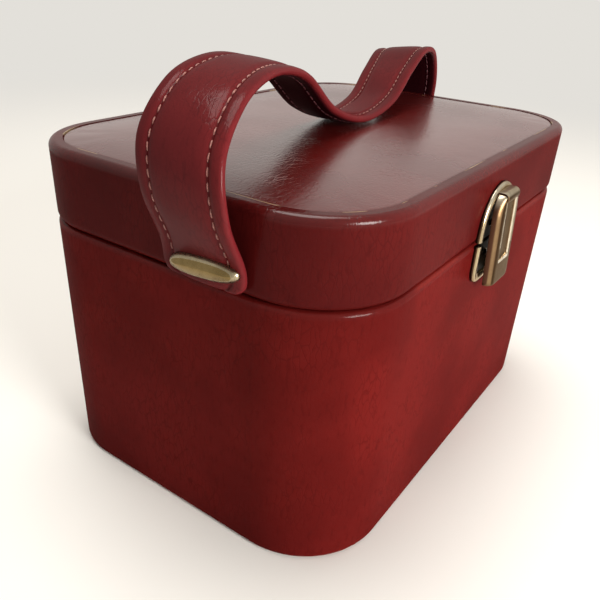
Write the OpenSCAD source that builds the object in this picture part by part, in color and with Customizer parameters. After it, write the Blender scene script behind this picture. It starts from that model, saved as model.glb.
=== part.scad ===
// Leather jewellery case with a lift-off tray, a hinged lid, a strap handle
// and a drop-lever clasp. Millimetres, +Z up, origin at the middle of the base.
// The clasp faces -Y, the hinges are on +Y and the strap runs along X.

/* [Case] */
// Length over the leather
case_l = 255; // [235:1:300]
// Width over the leather, front to back
case_w = 180; // [165:1:210]
// Radius of the upright corners
corner_r = 41; // [34:1:48]
// Height of the body up to the seam
body_h = 124.6; // [118:0.2:160]
// Height of the lid from its lower edge to its rim
lid_h = 35.2; // [34:0.2:45]
// Gap between body and lid at the seam
seam_gap = 0.3; // [0.2:0.05:0.5]
// Thickness of the board walls
board_t = 4; // [3.5:0.1:4.6]
// Thickness of the leather
skin_t = 1; // [0.7:0.05:1.1]
// Thickness of the velvet lining
lining_t = 1.2; // [0.8:0.1:1.6]
// Glue line between layers
glue = 0.1; // [0.08:0.01:0.15]
// Edge rounding at the foot and the mouth of the body
body_edge_r = 2.4; // [2.1:0.1:3]
// Edge rounding at the lid's lower edge
lid_low_r = 3.5; // [3:0.1:4]
// Edge rounding at the lid's rim
rim_r = 3; // [2.4:0.1:3.5]

/* [Lid top] */
// Width of the rim round the top panel
rim_w = 6.2; // [6:0.1:8]
// Rise of the padded panel above the rim
crown_h = 1.4; // [0.6:0.1:3]
// Thickness of the lid's top board
top_board_t = 4; // [3:0.5:5]
// Depth of the padding's groove below the rim
groove_d = 3; // [2.5:0.1:3.5]

/* [Inside] */
// Height of the locating lip above the seam
lip_h = 5.4; // [3:0.1:6]
// Length of the lip inside the body
lip_depth = 16.6; // [10:0.1:24]
// Thickness of the locating lip
lip_t = 3; // [2:0.1:3.5]
// Gap between the lip and the lid
lip_gap = 0.8; // [0.6:0.1:1]
// Thickness of the padded floor
floor_pad_t = 5.5; // [3:0.5:10]
// Height of the tray
tray_h = 33; // [28:1:34]
// Drop from the seam to the tray's upper edge
tray_drop = 3.6; // [2.6:0.1:6]
// Gap round the tray
tray_gap = 0.8; // [0.5:0.1:1.5]
// Thickness of the tray's walls
tray_wall = 2.5; // [2:0.1:3]
// Thickness of the tray's floor
tray_floor = 2; // [1.5:0.1:3]
// Thickness of the dividers
divider_t = 2; // [1.5:0.1:3]
// Width of the ring-roll compartment
ring_bay = 80; // [74:1:90]
// Width of the small front compartment
small_bay = 78; // [60:1:90]
// Radius of one ring roll
roll_r = 6.8; // [5.5:0.1:6.8]
// Number of ring rolls
roll_count = 4; // [2:1:4]
// Width of the ledge that carries the tray
ledge_w = 7; // [5:0.5:10]
// Height of the ledge
ledge_h = 3.9; // [3:0.1:6]
// Length of the mirror
mirror_l = 153.6; // [120:0.2:160]
// Width of the mirror
mirror_w = 93.6; // [70:0.2:100]
// Thickness of the mirror
mirror_t = 2.2; // [1.8:0.1:2.4]
// Width of the mirror's frame
mirror_frame_w = 8; // [6:0.5:10]
// Depth of the mirror's frame
mirror_frame_t = 3.9; // [3.4:0.1:4.2]

/* [Strap handle] */
// Width of the strap at its ends
strap_end_w = 39.5; // [34:0.5:42]
// Width of the strap at its middle
strap_mid_w = 27; // [24:0.5:38]
// Extra width of the strap over its arches
strap_arch_w = 6; // [0:0.5:7]
// Thickness of the strap
strap_t = 4; // [3.4:0.1:5]
// Thickness of each of the strap's leathers
strap_skin = 1.2; // [0.9:0.1:1.4]
// How far each end sits from the middle of its wall
attach_y = 27; // [0:0.5:30]
// Height of the strap's lower end above the lid's lower edge
strap_foot = 1.3; // [1:0.1:3]
// Bulge of the strap past its ends
strap_bulge = 9; // [5:0.5:12]
// Rise of the near arch above the rim
near_rise = 37; // [26:1:45]
// Rise of the far arch above the rim
far_rise = 27; // [20:1:40]
// Length of an end cap
cap_l = 33.4; // [28:0.2:35]
// Height of an end cap
cap_h = 9; // [7:0.1:10]
// Thickness of an end cap
cap_t = 3.6; // [2:0.1:4]
// Tilt of an end cap, in degrees
cap_tilt = 4.7; // [0:0.1:6]
// Height of an end cap's middle above the lid's lower edge
cap_rise = 9; // [7:0.1:10]
// Distance of an end cap's middle past the middle of the strap's end
cap_shift = 2.6; // [0:0.1:3]
// Radius of an end cap's prongs
prong_r = 1.3; // [1:0.1:1.5]
// Distance between an end cap's prongs
prong_pitch = 22; // [16:1:24]

/* [Hinges] */
// Distance of each hinge from the middle
hinge_x = 58; // [45:1:64]
// Length of a hinge
hinge_l = 30; // [26:1:34]
// Height of a hinge leaf
leaf_h = 10.5; // [9:0.5:12]
// Thickness of a hinge leaf
leaf_t = 1.2; // [1:0.1:1.3]
// Outer radius of the knuckles
knuckle_r = 2.3; // [2.1:0.05:2.35]
// Distance of the hinge axis behind the back wall
hinge_out = 2; // [1.9:0.05:2.2]
// Radius of the hinge pin
hinge_pin_r = 1; // [0.8:0.05:1.1]
// Radial running clearance on the pins
pin_play = 0.06; // [0.03:0.01:0.09]
// Radius of a rivet's shank
rivet_r = 1; // [0.8:0.05:1.2]
// Radius of a rivet's head
rivet_head_r = 1.9; // [1.6:0.1:2.1]
// Height of a rivet's head
rivet_head_h = 0.8; // [0.5:0.05:0.9]

/* [Clasp] */
// Width of the clasp plates
plate_w = 40; // [36:1:42]
// Height of the lid plate
lid_plate_h = 24.2; // [23.4:0.2:25]
// Height of the body plate
body_plate_h = 19.6; // [18:0.2:22]
// Thickness of the plates
plate_t = 1.2; // [1:0.05:1.3]
// Height of the raised edge on the plates
plate_edge_h = 1; // [0.5:0.05:1.1]
// Width of the raised edge on the plates
plate_edge_w = 1.6; // [1:0.1:2]
// Gap between each plate and the middle of the seam
plate_gap = 0.95; // [0.6:0.05:1.5]
// Distance of the lever's pin from the front wall
pin_out = 4.6; // [4.55:0.05:5]
// Height of the lever's pin above the seam
pin_rise = 19.55; // [19:0.05:20]
// Radius of the lever's pin
clasp_pin_r = 1.1; // [0.9:0.05:1.2]
// Width of the lug that carries the pin
lug_w = 15; // [12:0.5:16]
// Radius of the lug
lug_r = 2.8; // [2.5:0.05:2.9]
// Width of the lever
lever_w = 26; // [24:0.5:28]
// Length of the lever from its pin to its lower end
lever_l = 41; // [38:0.5:44]
// Lean of the lever away from the case, in degrees
lever_lean = 2.8; // [2.6:0.1:4]
// Width of the channel in the lever
channel_w = 12; // [8:0.5:13]
// Depth of the channel in the lever
channel_d = 0.9; // [0.4:0.1:1.1]
// Length of the channel, from the pin
channel_l = 29.4; // [24:0.2:31]
// Width of the keeper on the body plate
keeper_w = 9; // [6:0.5:12]

/* [Hidden] */

$fn = 96;

leather_colour = "#6a1218";
leather_under_colour = "#2c0a10";
board_colour = "#b08a5c";
velvet_colour = "#5c1420";
foam_colour = "#d9c9a0";
metal_colour = "#b8ab8c";
mirror_colour = "#cfd6da";

// Heights of the case
seam_z = body_h + seam_gap / 2;
lid_z = body_h + seam_gap;
rim_z = lid_z + lid_h;
crown_z = rim_z + crown_h;

// Depths from the leather's face into the wall
board_in = skin_t + glue;
board_back = board_in + board_t;
lining_in = board_back + glue;
lining_back = lining_in + lining_t;
lip_back = lining_in + lip_t;
lip_front = board_back + lip_gap;

// Heights inside the body
floor_z = board_in + board_t + glue;
pad_z = floor_z + lining_t + glue;
lip_z = body_h - lip_depth;
lip_top = body_h + lip_h;
tray_top = body_h - tray_drop;
tray_z = tray_top - tray_h;
tray_in = lip_back + tray_gap;
ledge_z = tray_z - glue - ledge_h;

// Heights inside the lid
top_board_z = rim_z - groove_d - glue - top_board_t;
panel_z = rim_z - groove_d;
ceiling_z = top_board_z - glue;
frame_z = ceiling_z - lining_t - glue - mirror_frame_t;

// Tray layout
tray_l = case_l - 2 * tray_in;
tray_w = case_w - 2 * tray_in;
tray_r = corner_r - tray_in;
bay_z = tray_z + tray_floor;
divider_drop = 7;
bay_h = tray_h - tray_floor - divider_drop;
ring_wall_x = -tray_l / 2 + tray_wall + ring_bay;
small_wall_x = ring_wall_x + divider_t + small_bay;
bay_gap = 0.3;
bay_pad_t = 2.2;
tray_inner_l = tray_l - 2 * tray_wall;
tray_inner_w = tray_w - 2 * tray_wall;
tray_inner_r = tray_r - tray_wall;
ribbon_w = 12;
ribbon_t = 0.8;
ribbon_rise = 6;
ribbon_hem = 22;

// Width of the leather turned in under the base
base_flange = 12;
base_gap = 0.3;

// Mirror: corner radius, what its frame covers, and the gap round it
mirror_r = 7;
mirror_lap = 2;
mirror_seat = 0.2;

// Rivets, prongs and the washers on the inside of the wall
rivet_play = 0.06;
wall_t = board_back;
washer_t = 1;
washer_r = 0.4 * cap_h;
washer_gap = 0.2;
cap_seat = glue + strap_t + 0.6;
cap_press = 0.1;
cap_turn = 10;
cap_blunt = 0.85;

// Hinges
knuckle_n = 5;
knuckle_gap = 0.2;
knuckle_pitch = hinge_l / knuckle_n;
leaf_gap = 0.3;
leaf_start = knuckle_r + leaf_gap;

// Clasp layout: x across, y out from the front wall, z up
lid_plate_z = seam_z + plate_gap;
arch_r = plate_w / 2;
arch_z = lid_plate_z + lid_plate_h - arch_r;
body_plate_top = seam_z - plate_gap;
body_plate_corner = 8;
pin_z = seam_z + pin_rise;
lever_back = -1.9;
lever_face = 2.1;
lever_skin = 1.8;
lever_wall = 1.4;
pocket_top = -5;
pocket_foot = lever_wall - lever_l;
lever_eye_r = 2.1;
lever_corner = 6.5;
thumb_corner = 2.5;
pin_hold = 2;
notch_gap = 0.4;
keeper_z = body_plate_top - 0.73 * body_plate_h;
keeper_h = 5;
keeper_out = 3.8;
clasp_rivet_x = plate_w / 5;
lid_rivet_z = lid_plate_z + 0.29 * lid_plate_h;
body_rivet_z = body_plate_top - 0.28 * body_plate_h;
spring_w = 8;
spring_t = 0.5;
spring_top = 12;
spring_l = 26;
spring_bump = 1.6;
thumb_lip = 0.9;

// Strap route: middle of the strap's thickness, from the near end to the far end
strap_z = lid_z + strap_foot;
span = case_l / 2 + glue + strap_t / 2;
touch_gap = 1;
touch_z = crown_z + touch_gap + strap_t / 2;
strap_flat = 0.32 * lid_h;
route = [
    [-span, -attach_y, strap_z],
    [-span - 0.1 * strap_bulge, -attach_y, strap_z + 1.06 * strap_flat],
    [-span - strap_bulge, -attach_y, rim_z - 2],
    [-span - 0.82 * strap_bulge, -0.92 * attach_y, rim_z + 0.46 * near_rise],
    [-0.94 * span, -0.79 * attach_y, rim_z + 0.85 * near_rise],
    [-0.78 * span, -0.60 * attach_y, rim_z + near_rise],
    [-0.60 * span, -0.38 * attach_y, rim_z + 0.98 * near_rise],
    [-0.42 * span, -0.22 * attach_y, rim_z + 0.81 * near_rise],
    [-0.22 * span, -0.15 * attach_y, rim_z + 0.35 * near_rise],
    [0.02 * span, -0.10 * attach_y, touch_z],
    [0.29 * span, 0.07 * attach_y, rim_z + 0.29 * far_rise],
    [0.52 * span, 0.33 * attach_y, rim_z + 0.72 * far_rise],
    [0.73 * span, 0.59 * attach_y, rim_z + far_rise],
    [0.91 * span, 0.82 * attach_y, rim_z + 0.87 * far_rise],
    [span + 0.15 * strap_bulge, 0.95 * attach_y, rim_z + 0.18 * far_rise],
    [span + 0.03 * strap_bulge, attach_y, strap_z + 1.06 * strap_flat],
    [span, attach_y, strap_z]];
route_n = len(route) - 1;
strap_rings = 84;
strap_corner = 6;
strap_roll = -19;
layer_gap = 0.04;

function at(i) = route[max(0, min(route_n, i))];
function ends(i) =
    i < 0 ? 2 * at(0) - at(1) :
    i > route_n ? 2 * at(route_n) - at(route_n - 1) : at(i);
function spline(a, b, c, d, t) =
    0.5 * (2 * b + (c - a) * t + (2 * a - 5 * b + 4 * c - d) * t * t
           + (3 * b - a - 3 * c + d) * t * t * t);
function unit(v) = v / norm(v);

function blunt(x) = sign(x) * pow(abs(x), cap_blunt);

// Rings crowd towards the two ends, where the corners are rounded
function share(k) = let (u = k / strap_rings) u - 0.10 * sin(360 * u) / 2;
function place(u) =
    let (s = u * route_n, i = min(floor(s), route_n - 1))
    spline(ends(i - 1), ends(i), ends(i + 1), ends(i + 2), s - i);
function heading(u) = unit(place(min(1, u + 0.002)) - place(max(0, u - 0.002)));
function across(u) =
    let (v = 2 * u - 1, roll = strap_roll * v * (1 - v * v)) [0, cos(roll), sin(roll)];
function half_w(u) =
    let (v = 2 * u - 1, low = place(u)[2] - strap_z,
         cut = low < strap_corner && abs(v) > 0.9
             ? strap_corner - sqrt(max(0, 2 * strap_corner * low - low * low)) : 0)
    (strap_mid_w * (1 - v * v) + strap_end_w * v * v + strap_arch_w * 4 * v * v * (1 - v * v)) / 2
    - cut * 0.9;

// One leather or the filler, between two depths through the strap's thickness
module strap_layer(low, high, inset) {
    pts = [for (k = [0:strap_rings])
        let (u = share(k), c = place(u), t = heading(u), r = across(u),
             n = unit(cross(t, r)), w = half_w(u) / sqrt(1 - pow(t * r, 2)) - inset)
        each [c - w * r + low * n, c + w * r + low * n, c + w * r + high * n, c - w * r + high * n]];
    sides = [for (k = [0:strap_rings - 1], j = [0:3])
        let (a = 4 * k + j, b = 4 * k + (j + 1) % 4)
        each [[a, b, a + 4], [b, b + 4, a + 4]]];
    last = 4 * strap_rings;
    caps = [[0, 2, 1], [0, 3, 2], [last, last + 1, last + 2], [last, last + 2, last + 3]];
    polyhedron(points = pts, faces = concat(sides, caps), convexity = 8);
}

// ---------------------------------------------------------------- shapes

// Rounded rectangle with true arcs
module rounded(l, w, r) {
    square([l - 2 * r, w], center = true);
    square([l, w - 2 * r], center = true);
    for (sx = [-1, 1], sy = [-1, 1])
        translate([sx * (l / 2 - r), sy * (w / 2 - r)]) circle(r);
}

// The case's outline, moved in by a depth
module outline(inset) {
    rounded(case_l - 2 * inset, case_w - 2 * inset, corner_r - inset);
}

module slab(inset, z0, z1) {
    translate([0, 0, z0]) linear_extrude(z1 - z0) outline(inset);
}

// A profile (depth into the wall, height) carried round the case's outline
module around() {
    for (k = [0:3]) {
        a = k % 2 == 0 ? case_l : case_w;
        b = k % 2 == 0 ? case_w : case_l;
        rotate([0, 0, 90 * k]) {
            translate([a / 2, b / 2 - corner_r, 0]) rotate([90, 0, 0])
                linear_extrude(b - 2 * corner_r) mirror([1, 0]) children();
            translate([a / 2 - corner_r, b / 2 - corner_r, 0])
                rotate_extrude(angle = 90) translate([corner_r, 0]) mirror([1, 0]) children();
        }
    }
}

// Upright strip from depth u0 to u1 whose outer corners are rounded
module edged(u0, u1, z0, z1, r0, r1) {
    translate([u0 + r0, z0]) square([u1 - u0 - r0, r0]);
    translate([u0 + r0, z0 + r0]) circle(r0);
    translate([u0 + r1, z1 - r1]) square([u1 - u0 - r1, r1]);
    translate([u0 + r1, z1 - r1]) circle(r1);
    translate([u0, z0 + r0]) square([u1 - u0, z1 - z0 - r0 - r1]);
}

// Leather that wraps a wall, turned in by low_in at the foot and high_in at the top
module wrap(z0, z1, r0, r1, low_in, high_in) {
    deep = max(low_in, high_in);
    mid = (z0 + z1) / 2;
    difference() {
        edged(0, deep, z0, z1, r0, r1);
        edged(skin_t, deep + 1, z0 + skin_t, z1 - skin_t, r0 - skin_t, r1 - skin_t);
        translate([low_in, z0 - 1]) square([deep, mid - z0 + 1]);
        translate([high_in, mid]) square([deep, z1 - mid + 1]);
    }
}

// Frames on the walls: x to the right, y out of the wall, z up
module on_front() { translate([0, -case_w / 2, 0]) rotate([0, 0, 180]) children(); }
module on_back() { translate([0, case_w / 2, 0]) children(); }
module on_near_end() { translate([-case_l / 2, 0, 0]) rotate([0, 0, 90]) children(); }
module on_far_end() { translate([case_l / 2, 0, 0]) rotate([0, 0, -90]) children(); }

// Something drawn along +Z, turned to point out of a wall
module outward() { rotate([-90, 0, 0]) children(); }

// Low round head, radius r and height h
module dome(r, h) {
    ball = (r * r + h * h) / (2 * h);
    rotate_extrude() intersection() {
        translate([0, h - ball]) circle(ball);
        square([r, h]);
    }
}

// Rivet with its head's seat at z = 0 and its shank below
module rivet(length) {
    dome(rivet_head_r, rivet_head_h);
    translate([0, 0, -length]) cylinder(h = length, r = rivet_r);
}

// ---------------------------------------------------------------- holes in the walls

// Hole along a wall's normal, from a depth in the wall to a height above it
module drill(r, depth, height = 1) {
    outward() translate([0, 0, -depth]) cylinder(h = depth + height, r = r);
}

// Places of the hinge rivets; side is -1 on the body and 1 on the lid
module hinge_rivet_places(side) {
    for (sx = [-1, 1], dx = [-hinge_l * 0.3, hinge_l * 0.3])
        translate([sx * hinge_x + dx, 0, seam_z + side * (leaf_start + 0.55 * leaf_h)])
            children();
}

module clasp_rivet_places(z) {
    for (sx = [-1, 1]) translate([sx * clasp_rivet_x, 0, z]) children();
}

// Place of an end cap in a wall's frame: middle on the wall, tilted with the strap
module cap_place() {
    mirror([1, 0, 0]) translate([attach_y + cap_shift, 0, lid_z + cap_rise])
        rotate([0, -cap_tilt, 0]) children();
}

module each_cap_place() {
    on_near_end() cap_place() children();
    on_far_end() cap_place() children();
}

module prong_places() { for (s = [-1, 1]) translate([s * prong_pitch / 2, 0, 0]) children(); }

module body_holes() {
    on_back() hinge_rivet_places(-1) drill(rivet_r + rivet_play, wall_t + 1);
    on_front() clasp_rivet_places(body_rivet_z) drill(rivet_r + rivet_play, wall_t + 1);
}

module lid_holes() {
    on_back() hinge_rivet_places(1) drill(rivet_r + rivet_play, wall_t + 1);
    on_front() clasp_rivet_places(lid_rivet_z) drill(rivet_r + rivet_play, wall_t + 1);
    each_cap_place() prong_places() drill(prong_r + rivet_play, wall_t + 1);
}

// ---------------------------------------------------------------- body

module body_shell() {
    color(board_colour) difference() {
        around() edged(board_in, board_back, board_in, body_h - board_in,
                       body_edge_r - board_in, body_edge_r - board_in);
        body_holes();
    }
}

module body_cover() {
    color(leather_colour) difference() {
        around() wrap(0, body_h, body_edge_r, body_edge_r, base_flange, board_back);
        body_holes();
    }
}

module base_board() {
    color(board_colour) slab(lining_in, board_in, board_in + board_t);
}

module base_cover() {
    color(leather_colour) slab(base_flange + base_gap, 0, skin_t);
}

module body_lining() {
    color(velvet_colour) {
        around() translate([lining_in, floor_z]) square([lining_t, lip_z - glue - floor_z]);
        slab(lining_back, floor_z, floor_z + lining_t);
    }
}

module floor_pad() {
    edge = 2;
    color(velvet_colour) hull() {
        slab(lining_back + bay_gap + edge, pad_z, pad_z + floor_pad_t);
        slab(lining_back + bay_gap, pad_z, pad_z + floor_pad_t - edge);
    }
}

module locating_lip() {
    chamfer = 1;
    color(velvet_colour) around() {
        translate([lining_in, lip_z]) square([lip_back - lining_in, body_h - lip_z]);
        polygon([[lip_front, body_h - 1], [lip_back, body_h - 1], [lip_back, lip_top],
                 [lip_front + chamfer, lip_top], [lip_front, lip_top - chamfer]]);
    }
}

module tray_ledge() {
    color(board_colour) around()
        translate([lining_back + glue, ledge_z]) square([ledge_w, ledge_h]);
}

// ---------------------------------------------------------------- hinges

// One leaf with every other knuckle; side is -1 on the body and 1 on the lid
module hinge_leaf(side, first) {
    difference() {
        union() {
            translate([-hinge_l / 2, glue, side < 0 ? -leaf_start - leaf_h : leaf_start])
                cube([hinge_l, leaf_t, leaf_h]);
            for (k = [first:2:knuckle_n - 1])
                translate([-hinge_l / 2 + k * knuckle_pitch + knuckle_gap / 2, 0, 0]) {
                    translate([0, hinge_out, 0]) rotate([0, 90, 0])
                        cylinder(h = knuckle_pitch - knuckle_gap, r = knuckle_r);
                    translate([0, glue, side < 0 ? -leaf_start - 0.1 : 0])
                        cube([knuckle_pitch - knuckle_gap, leaf_t, leaf_start + 0.1]);
                }
        }
        translate([-hinge_l / 2 - 1, hinge_out, 0]) rotate([0, 90, 0])
            cylinder(h = hinge_l + 2, r = hinge_pin_r + pin_play);
    }
}

module hinge_leaves(side, first) {
    color(metal_colour) on_back() difference() {
        for (sx = [-1, 1]) translate([sx * hinge_x, 0, seam_z]) hinge_leaf(side, first);
        hinge_rivet_places(side) drill(rivet_r + rivet_play, 1, 2 * leaf_t + 1);
    }
}

module hinge_body_leaves() { hinge_leaves(-1, 0); }

module hinge_lid_leaves() { hinge_leaves(1, 1); }

module hinge_pins() {
    head_r = hinge_pin_r + 0.7;
    head_h = 0.8;
    color(metal_colour) on_back() for (sx = [-1, 1])
        translate([sx * hinge_x - hinge_l / 2, hinge_out, seam_z]) rotate([0, 90, 0]) {
            cylinder(h = hinge_l, r = hinge_pin_r);
            translate([0, 0, -head_h]) cylinder(h = head_h, r = head_r);
            translate([0, 0, hinge_l]) cylinder(h = head_h, r = head_r);
        }
}

module hinge_rivets(side) {
    color(metal_colour) on_back() hinge_rivet_places(side)
        translate([0, glue + leaf_t, 0]) outward() rivet(wall_t + glue + leaf_t);
}

module hinge_body_rivets() { hinge_rivets(-1); }

module hinge_lid_rivets() { hinge_rivets(1); }

// ---------------------------------------------------------------- lid

module lid_shell() {
    seat_l = cap_l + 2 * washer_gap;
    seat_h = cap_h + 2 * washer_gap;
    color(board_colour) difference() {
        around() edged(board_in, board_back, lid_z + board_in, rim_z - board_in,
                       lid_low_r - board_in, rim_r - board_in);
        lid_holes();
        each_cap_place() translate([-seat_l / 2, -wall_t - 1, -seat_h / 2])
            cube([seat_l, washer_t + 1 + glue, seat_h]);
    }
}

module lid_top_board() {
    color(board_colour) slab(lining_in, top_board_z, top_board_z + top_board_t);
}

module lid_cover() {
    color(leather_colour) difference() {
        around() wrap(lid_z, rim_z, lid_low_r, rim_r, board_back, rim_w);
        lid_holes();
    }
}

// Crowned block that fills the rim, its top lowered by drop and its sides moved in by inset
module crowned(inset, drop) {
    side = rim_w + 0.4 + inset;
    steps = [[0, -1.4], [0.9, -0.2], [4.3, 0.3 * crown_h], [21, 0.72 * crown_h], [48, crown_h]];
    hull() {
        slab(side, panel_z, panel_z + 0.1, $fn = 40);
        for (s = steps) slab(side + s[0], panel_z, rim_z + s[1] - drop, $fn = 40);
    }
}

module lid_top_panel() {
    color(leather_colour) difference() {
        crowned(0, 0);
        translate([0, 0, -0.01]) crowned(skin_t, skin_t);
    }
}

module lid_pad() {
    color(foam_colour) crowned(skin_t + glue, skin_t + 2 * glue);
}

module lid_lining() {
    wall_z = lip_top + 1.4;
    color(velvet_colour) {
        around() translate([lining_in, wall_z]) square([lining_t, ceiling_z - wall_z]);
        slab(lining_back, ceiling_z - lining_t, ceiling_z);
    }
}

module mirror_plate(l, w, r, z0, z1) {
    translate([0, 0, z0]) linear_extrude(z1 - z0) rounded(l, w, r);
}

module mirror_frame() {
    outer_l = mirror_l + 2 * mirror_frame_w;
    outer_w = mirror_w + 2 * mirror_frame_w;
    back = frame_z + mirror_frame_t;
    color(velvet_colour) difference() {
        mirror_plate(outer_l, outer_w, mirror_r + mirror_frame_w, frame_z, back);
        mirror_plate(mirror_l - 2 * mirror_lap, mirror_w - 2 * mirror_lap, mirror_r - mirror_lap,
                     frame_z - 1, back + 1);
        mirror_plate(mirror_l + 2 * mirror_seat, mirror_w + 2 * mirror_seat, mirror_r + mirror_seat,
                     back - mirror_t - 0.1, back + 1);
    }
}

module mirror_glass() {
    back = frame_z + mirror_frame_t;
    color(mirror_colour) mirror_plate(mirror_l, mirror_w, mirror_r, back - mirror_t, back);
}

// ---------------------------------------------------------------- strap handle

module strap_holes() {
    each_cap_place() prong_places() drill(prong_r + rivet_play, 1, cap_seat + 1);
}

module strap_outer() {
    color(leather_colour) difference() {
        strap_layer(strap_t / 2 - strap_skin, strap_t / 2, 0);
        strap_holes();
        each_cap_place() translate([0, cap_seat - cap_press, 0]) outward()
            cap_slice(cap_l + 1, cap_h + 1, cap_t);
    }
}

module strap_core() {
    color(leather_under_colour) difference() {
        strap_layer(strap_skin - strap_t / 2 + layer_gap, strap_t / 2 - strap_skin - layer_gap, 0.8);
        strap_holes();
    }
}

module strap_lining() {
    color(leather_under_colour) difference() {
        strap_layer(-strap_t / 2, strap_skin - strap_t / 2, 0);
        strap_holes();
    }
}

// Domed oval cap and its two prongs, which end flush with the washer
module handle_cap() {
    prong_l = cap_seat + wall_t;
    steps = [[0, 0.3], [0.12, 0.6], [0.27, 0.82], [0.6, 1]];
    translate([0, cap_seat, 0]) outward() {
        hull() for (s = steps) cap_slice(cap_l - s[0] * cap_h, (1 - s[0]) * cap_h, s[1] * cap_t);
        prong_places() translate([0, 0, -prong_l]) cylinder(h = prong_l + 0.4, r = prong_r);
    }
}

// A slice of a cap, a long oval with blunt ends
module cap_slice(l, h, t) {
    linear_extrude(t) polygon([for (a = [0:cap_turn:359])
        [l / 2 * blunt(cos(a)), h / 2 * blunt(sin(a))]]);
}

module handle_cap_near() { color(metal_colour) on_near_end() cap_place() handle_cap(); }

module handle_cap_far() { color(metal_colour) on_far_end() cap_place() handle_cap(); }

module washer() {
    translate([0, -wall_t + washer_t, 0]) outward() translate([0, 0, -washer_t]) difference() {
        linear_extrude(washer_t) rounded(cap_l, cap_h, washer_r);
        prong_places() translate([0, 0, -1]) cylinder(h = washer_t + 2, r = prong_r + rivet_play);
    }
}

module handle_washers() { color(metal_colour) each_cap_place() washer(); }

// ---------------------------------------------------------------- clasp

// Outline of the lid plate, moved in by a distance, in x and z
module lid_plate_outline(inset) {
    intersection() {
        union() {
            translate([0, arch_z]) circle(arch_r - inset);
            translate([inset - arch_r, lid_plate_z - 1])
                square([plate_w - 2 * inset, arch_z - lid_plate_z + 1]);
        }
        translate([-plate_w, lid_plate_z]) square([2 * plate_w, 2 * lid_plate_h]);
    }
}

// Outline of the body plate, moved in at its sides and foot
module body_plate_outline(inset) {
    low = body_plate_top - body_plate_h + inset;
    r = body_plate_corner - inset;
    half = plate_w / 2 - inset;
    translate([-half, low + r]) square([2 * half, body_plate_top - low - r]);
    translate([-half + r, low]) square([2 * (half - r), r]);
    for (s = [-1, 1]) translate([s * (half - r), low + r]) circle(r);
}

// A flat outline in x and z, raised out of the front wall from y0 to y1
module raised(y0, y1) {
    translate([0, y1, 0]) rotate([90, 0, 0]) linear_extrude(y1 - y0) children();
}

module clasp_lid_plate() {
    color(metal_colour) on_front() difference() {
        union() {
            raised(glue, glue + plate_t) lid_plate_outline(0);
            raised(glue + plate_t - 0.2, glue + plate_t + plate_edge_h) difference() {
                lid_plate_outline(0);
                lid_plate_outline(plate_edge_w);
                translate([-arch_r + plate_edge_w, 0]) square([plate_w - 2 * plate_edge_w, arch_z]);
            }
            translate([-lug_w / 2, glue, pin_z - lug_r]) cube([lug_w, pin_out - glue, 2 * lug_r]);
            translate([-lug_w / 2, pin_out, pin_z]) rotate([0, 90, 0]) cylinder(h = lug_w, r = lug_r);
        }
        translate([-lug_w, pin_out, pin_z]) rotate([0, 90, 0])
            cylinder(h = 2 * lug_w, r = clasp_pin_r + pin_play);
        clasp_rivet_places(lid_rivet_z) drill(rivet_r + rivet_play, 1, 2 * plate_t + 1);
    }
}

module clasp_body_plate() {
    color(metal_colour) on_front() difference() {
        union() {
            raised(glue, glue + plate_t) body_plate_outline(0);
            raised(glue + plate_t - 0.2, glue + plate_t + plate_edge_h) difference() {
                body_plate_outline(0);
                body_plate_outline(plate_edge_w);
                translate([-arch_r + plate_edge_w, body_plate_top - body_plate_corner])
                    square([plate_w - 2 * plate_edge_w, body_plate_corner + 1]);
            }
        }
        clasp_rivet_places(body_rivet_z) drill(rivet_r + rivet_play, 1, 2 * plate_t + 1);
    }
}

// Block that the lever's spring snaps over, with a sloping top
module clasp_keeper() {
    base = glue + plate_t;
    color(metal_colour) on_front() translate([-keeper_w / 2, 0, 0]) rotate([90, 0, 90])
        linear_extrude(keeper_w) polygon([
            [base, keeper_z], [keeper_out - 0.6, keeper_z], [keeper_out, keeper_z + 0.6],
            [keeper_out, keeper_z + 0.5 * keeper_h], [base, keeper_z + keeper_h]]);
}

module clasp_rivets(z) {
    color(metal_colour) on_front() clasp_rivet_places(z)
        translate([0, glue + plate_t, 0]) outward() rivet(wall_t + glue + plate_t);
}

module clasp_body_rivets() { clasp_rivets(body_rivet_z); }

module clasp_lid_rivets() { clasp_rivets(lid_rivet_z); }

module clasp_pin() {
    pin_l = lug_w + 2 * notch_gap + 2 * pin_hold;
    color(metal_colour) on_front() translate([-pin_l / 2, pin_out, pin_z])
        rotate([0, 90, 0]) cylinder(h = pin_l, r = clasp_pin_r);
}

// The lever's frame: origin on its pin, z up along the lever, y out through its face
module on_lever() {
    on_front() translate([0, pin_out, pin_z]) rotate([lever_lean, 0, 0]) children();
}

module lever_outline() {
    half = lever_w / 2;
    shoulder_z = lever_eye_r - lever_corner;
    foot_z = thumb_corner - lever_l;
    translate([-half, foot_z]) square([lever_w, shoulder_z - foot_z]);
    translate([-half + lever_corner, shoulder_z - 1])
        square([lever_w - 2 * lever_corner, lever_corner + 1]);
    translate([-half + thumb_corner, -lever_l])
        square([lever_w - 2 * thumb_corner, thumb_corner + 1]);
    for (s = [-1, 1]) {
        translate([s * (half - lever_corner), shoulder_z]) circle(lever_corner);
        translate([s * (half - thumb_corner), foot_z]) circle(thumb_corner);
    }
}

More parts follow.
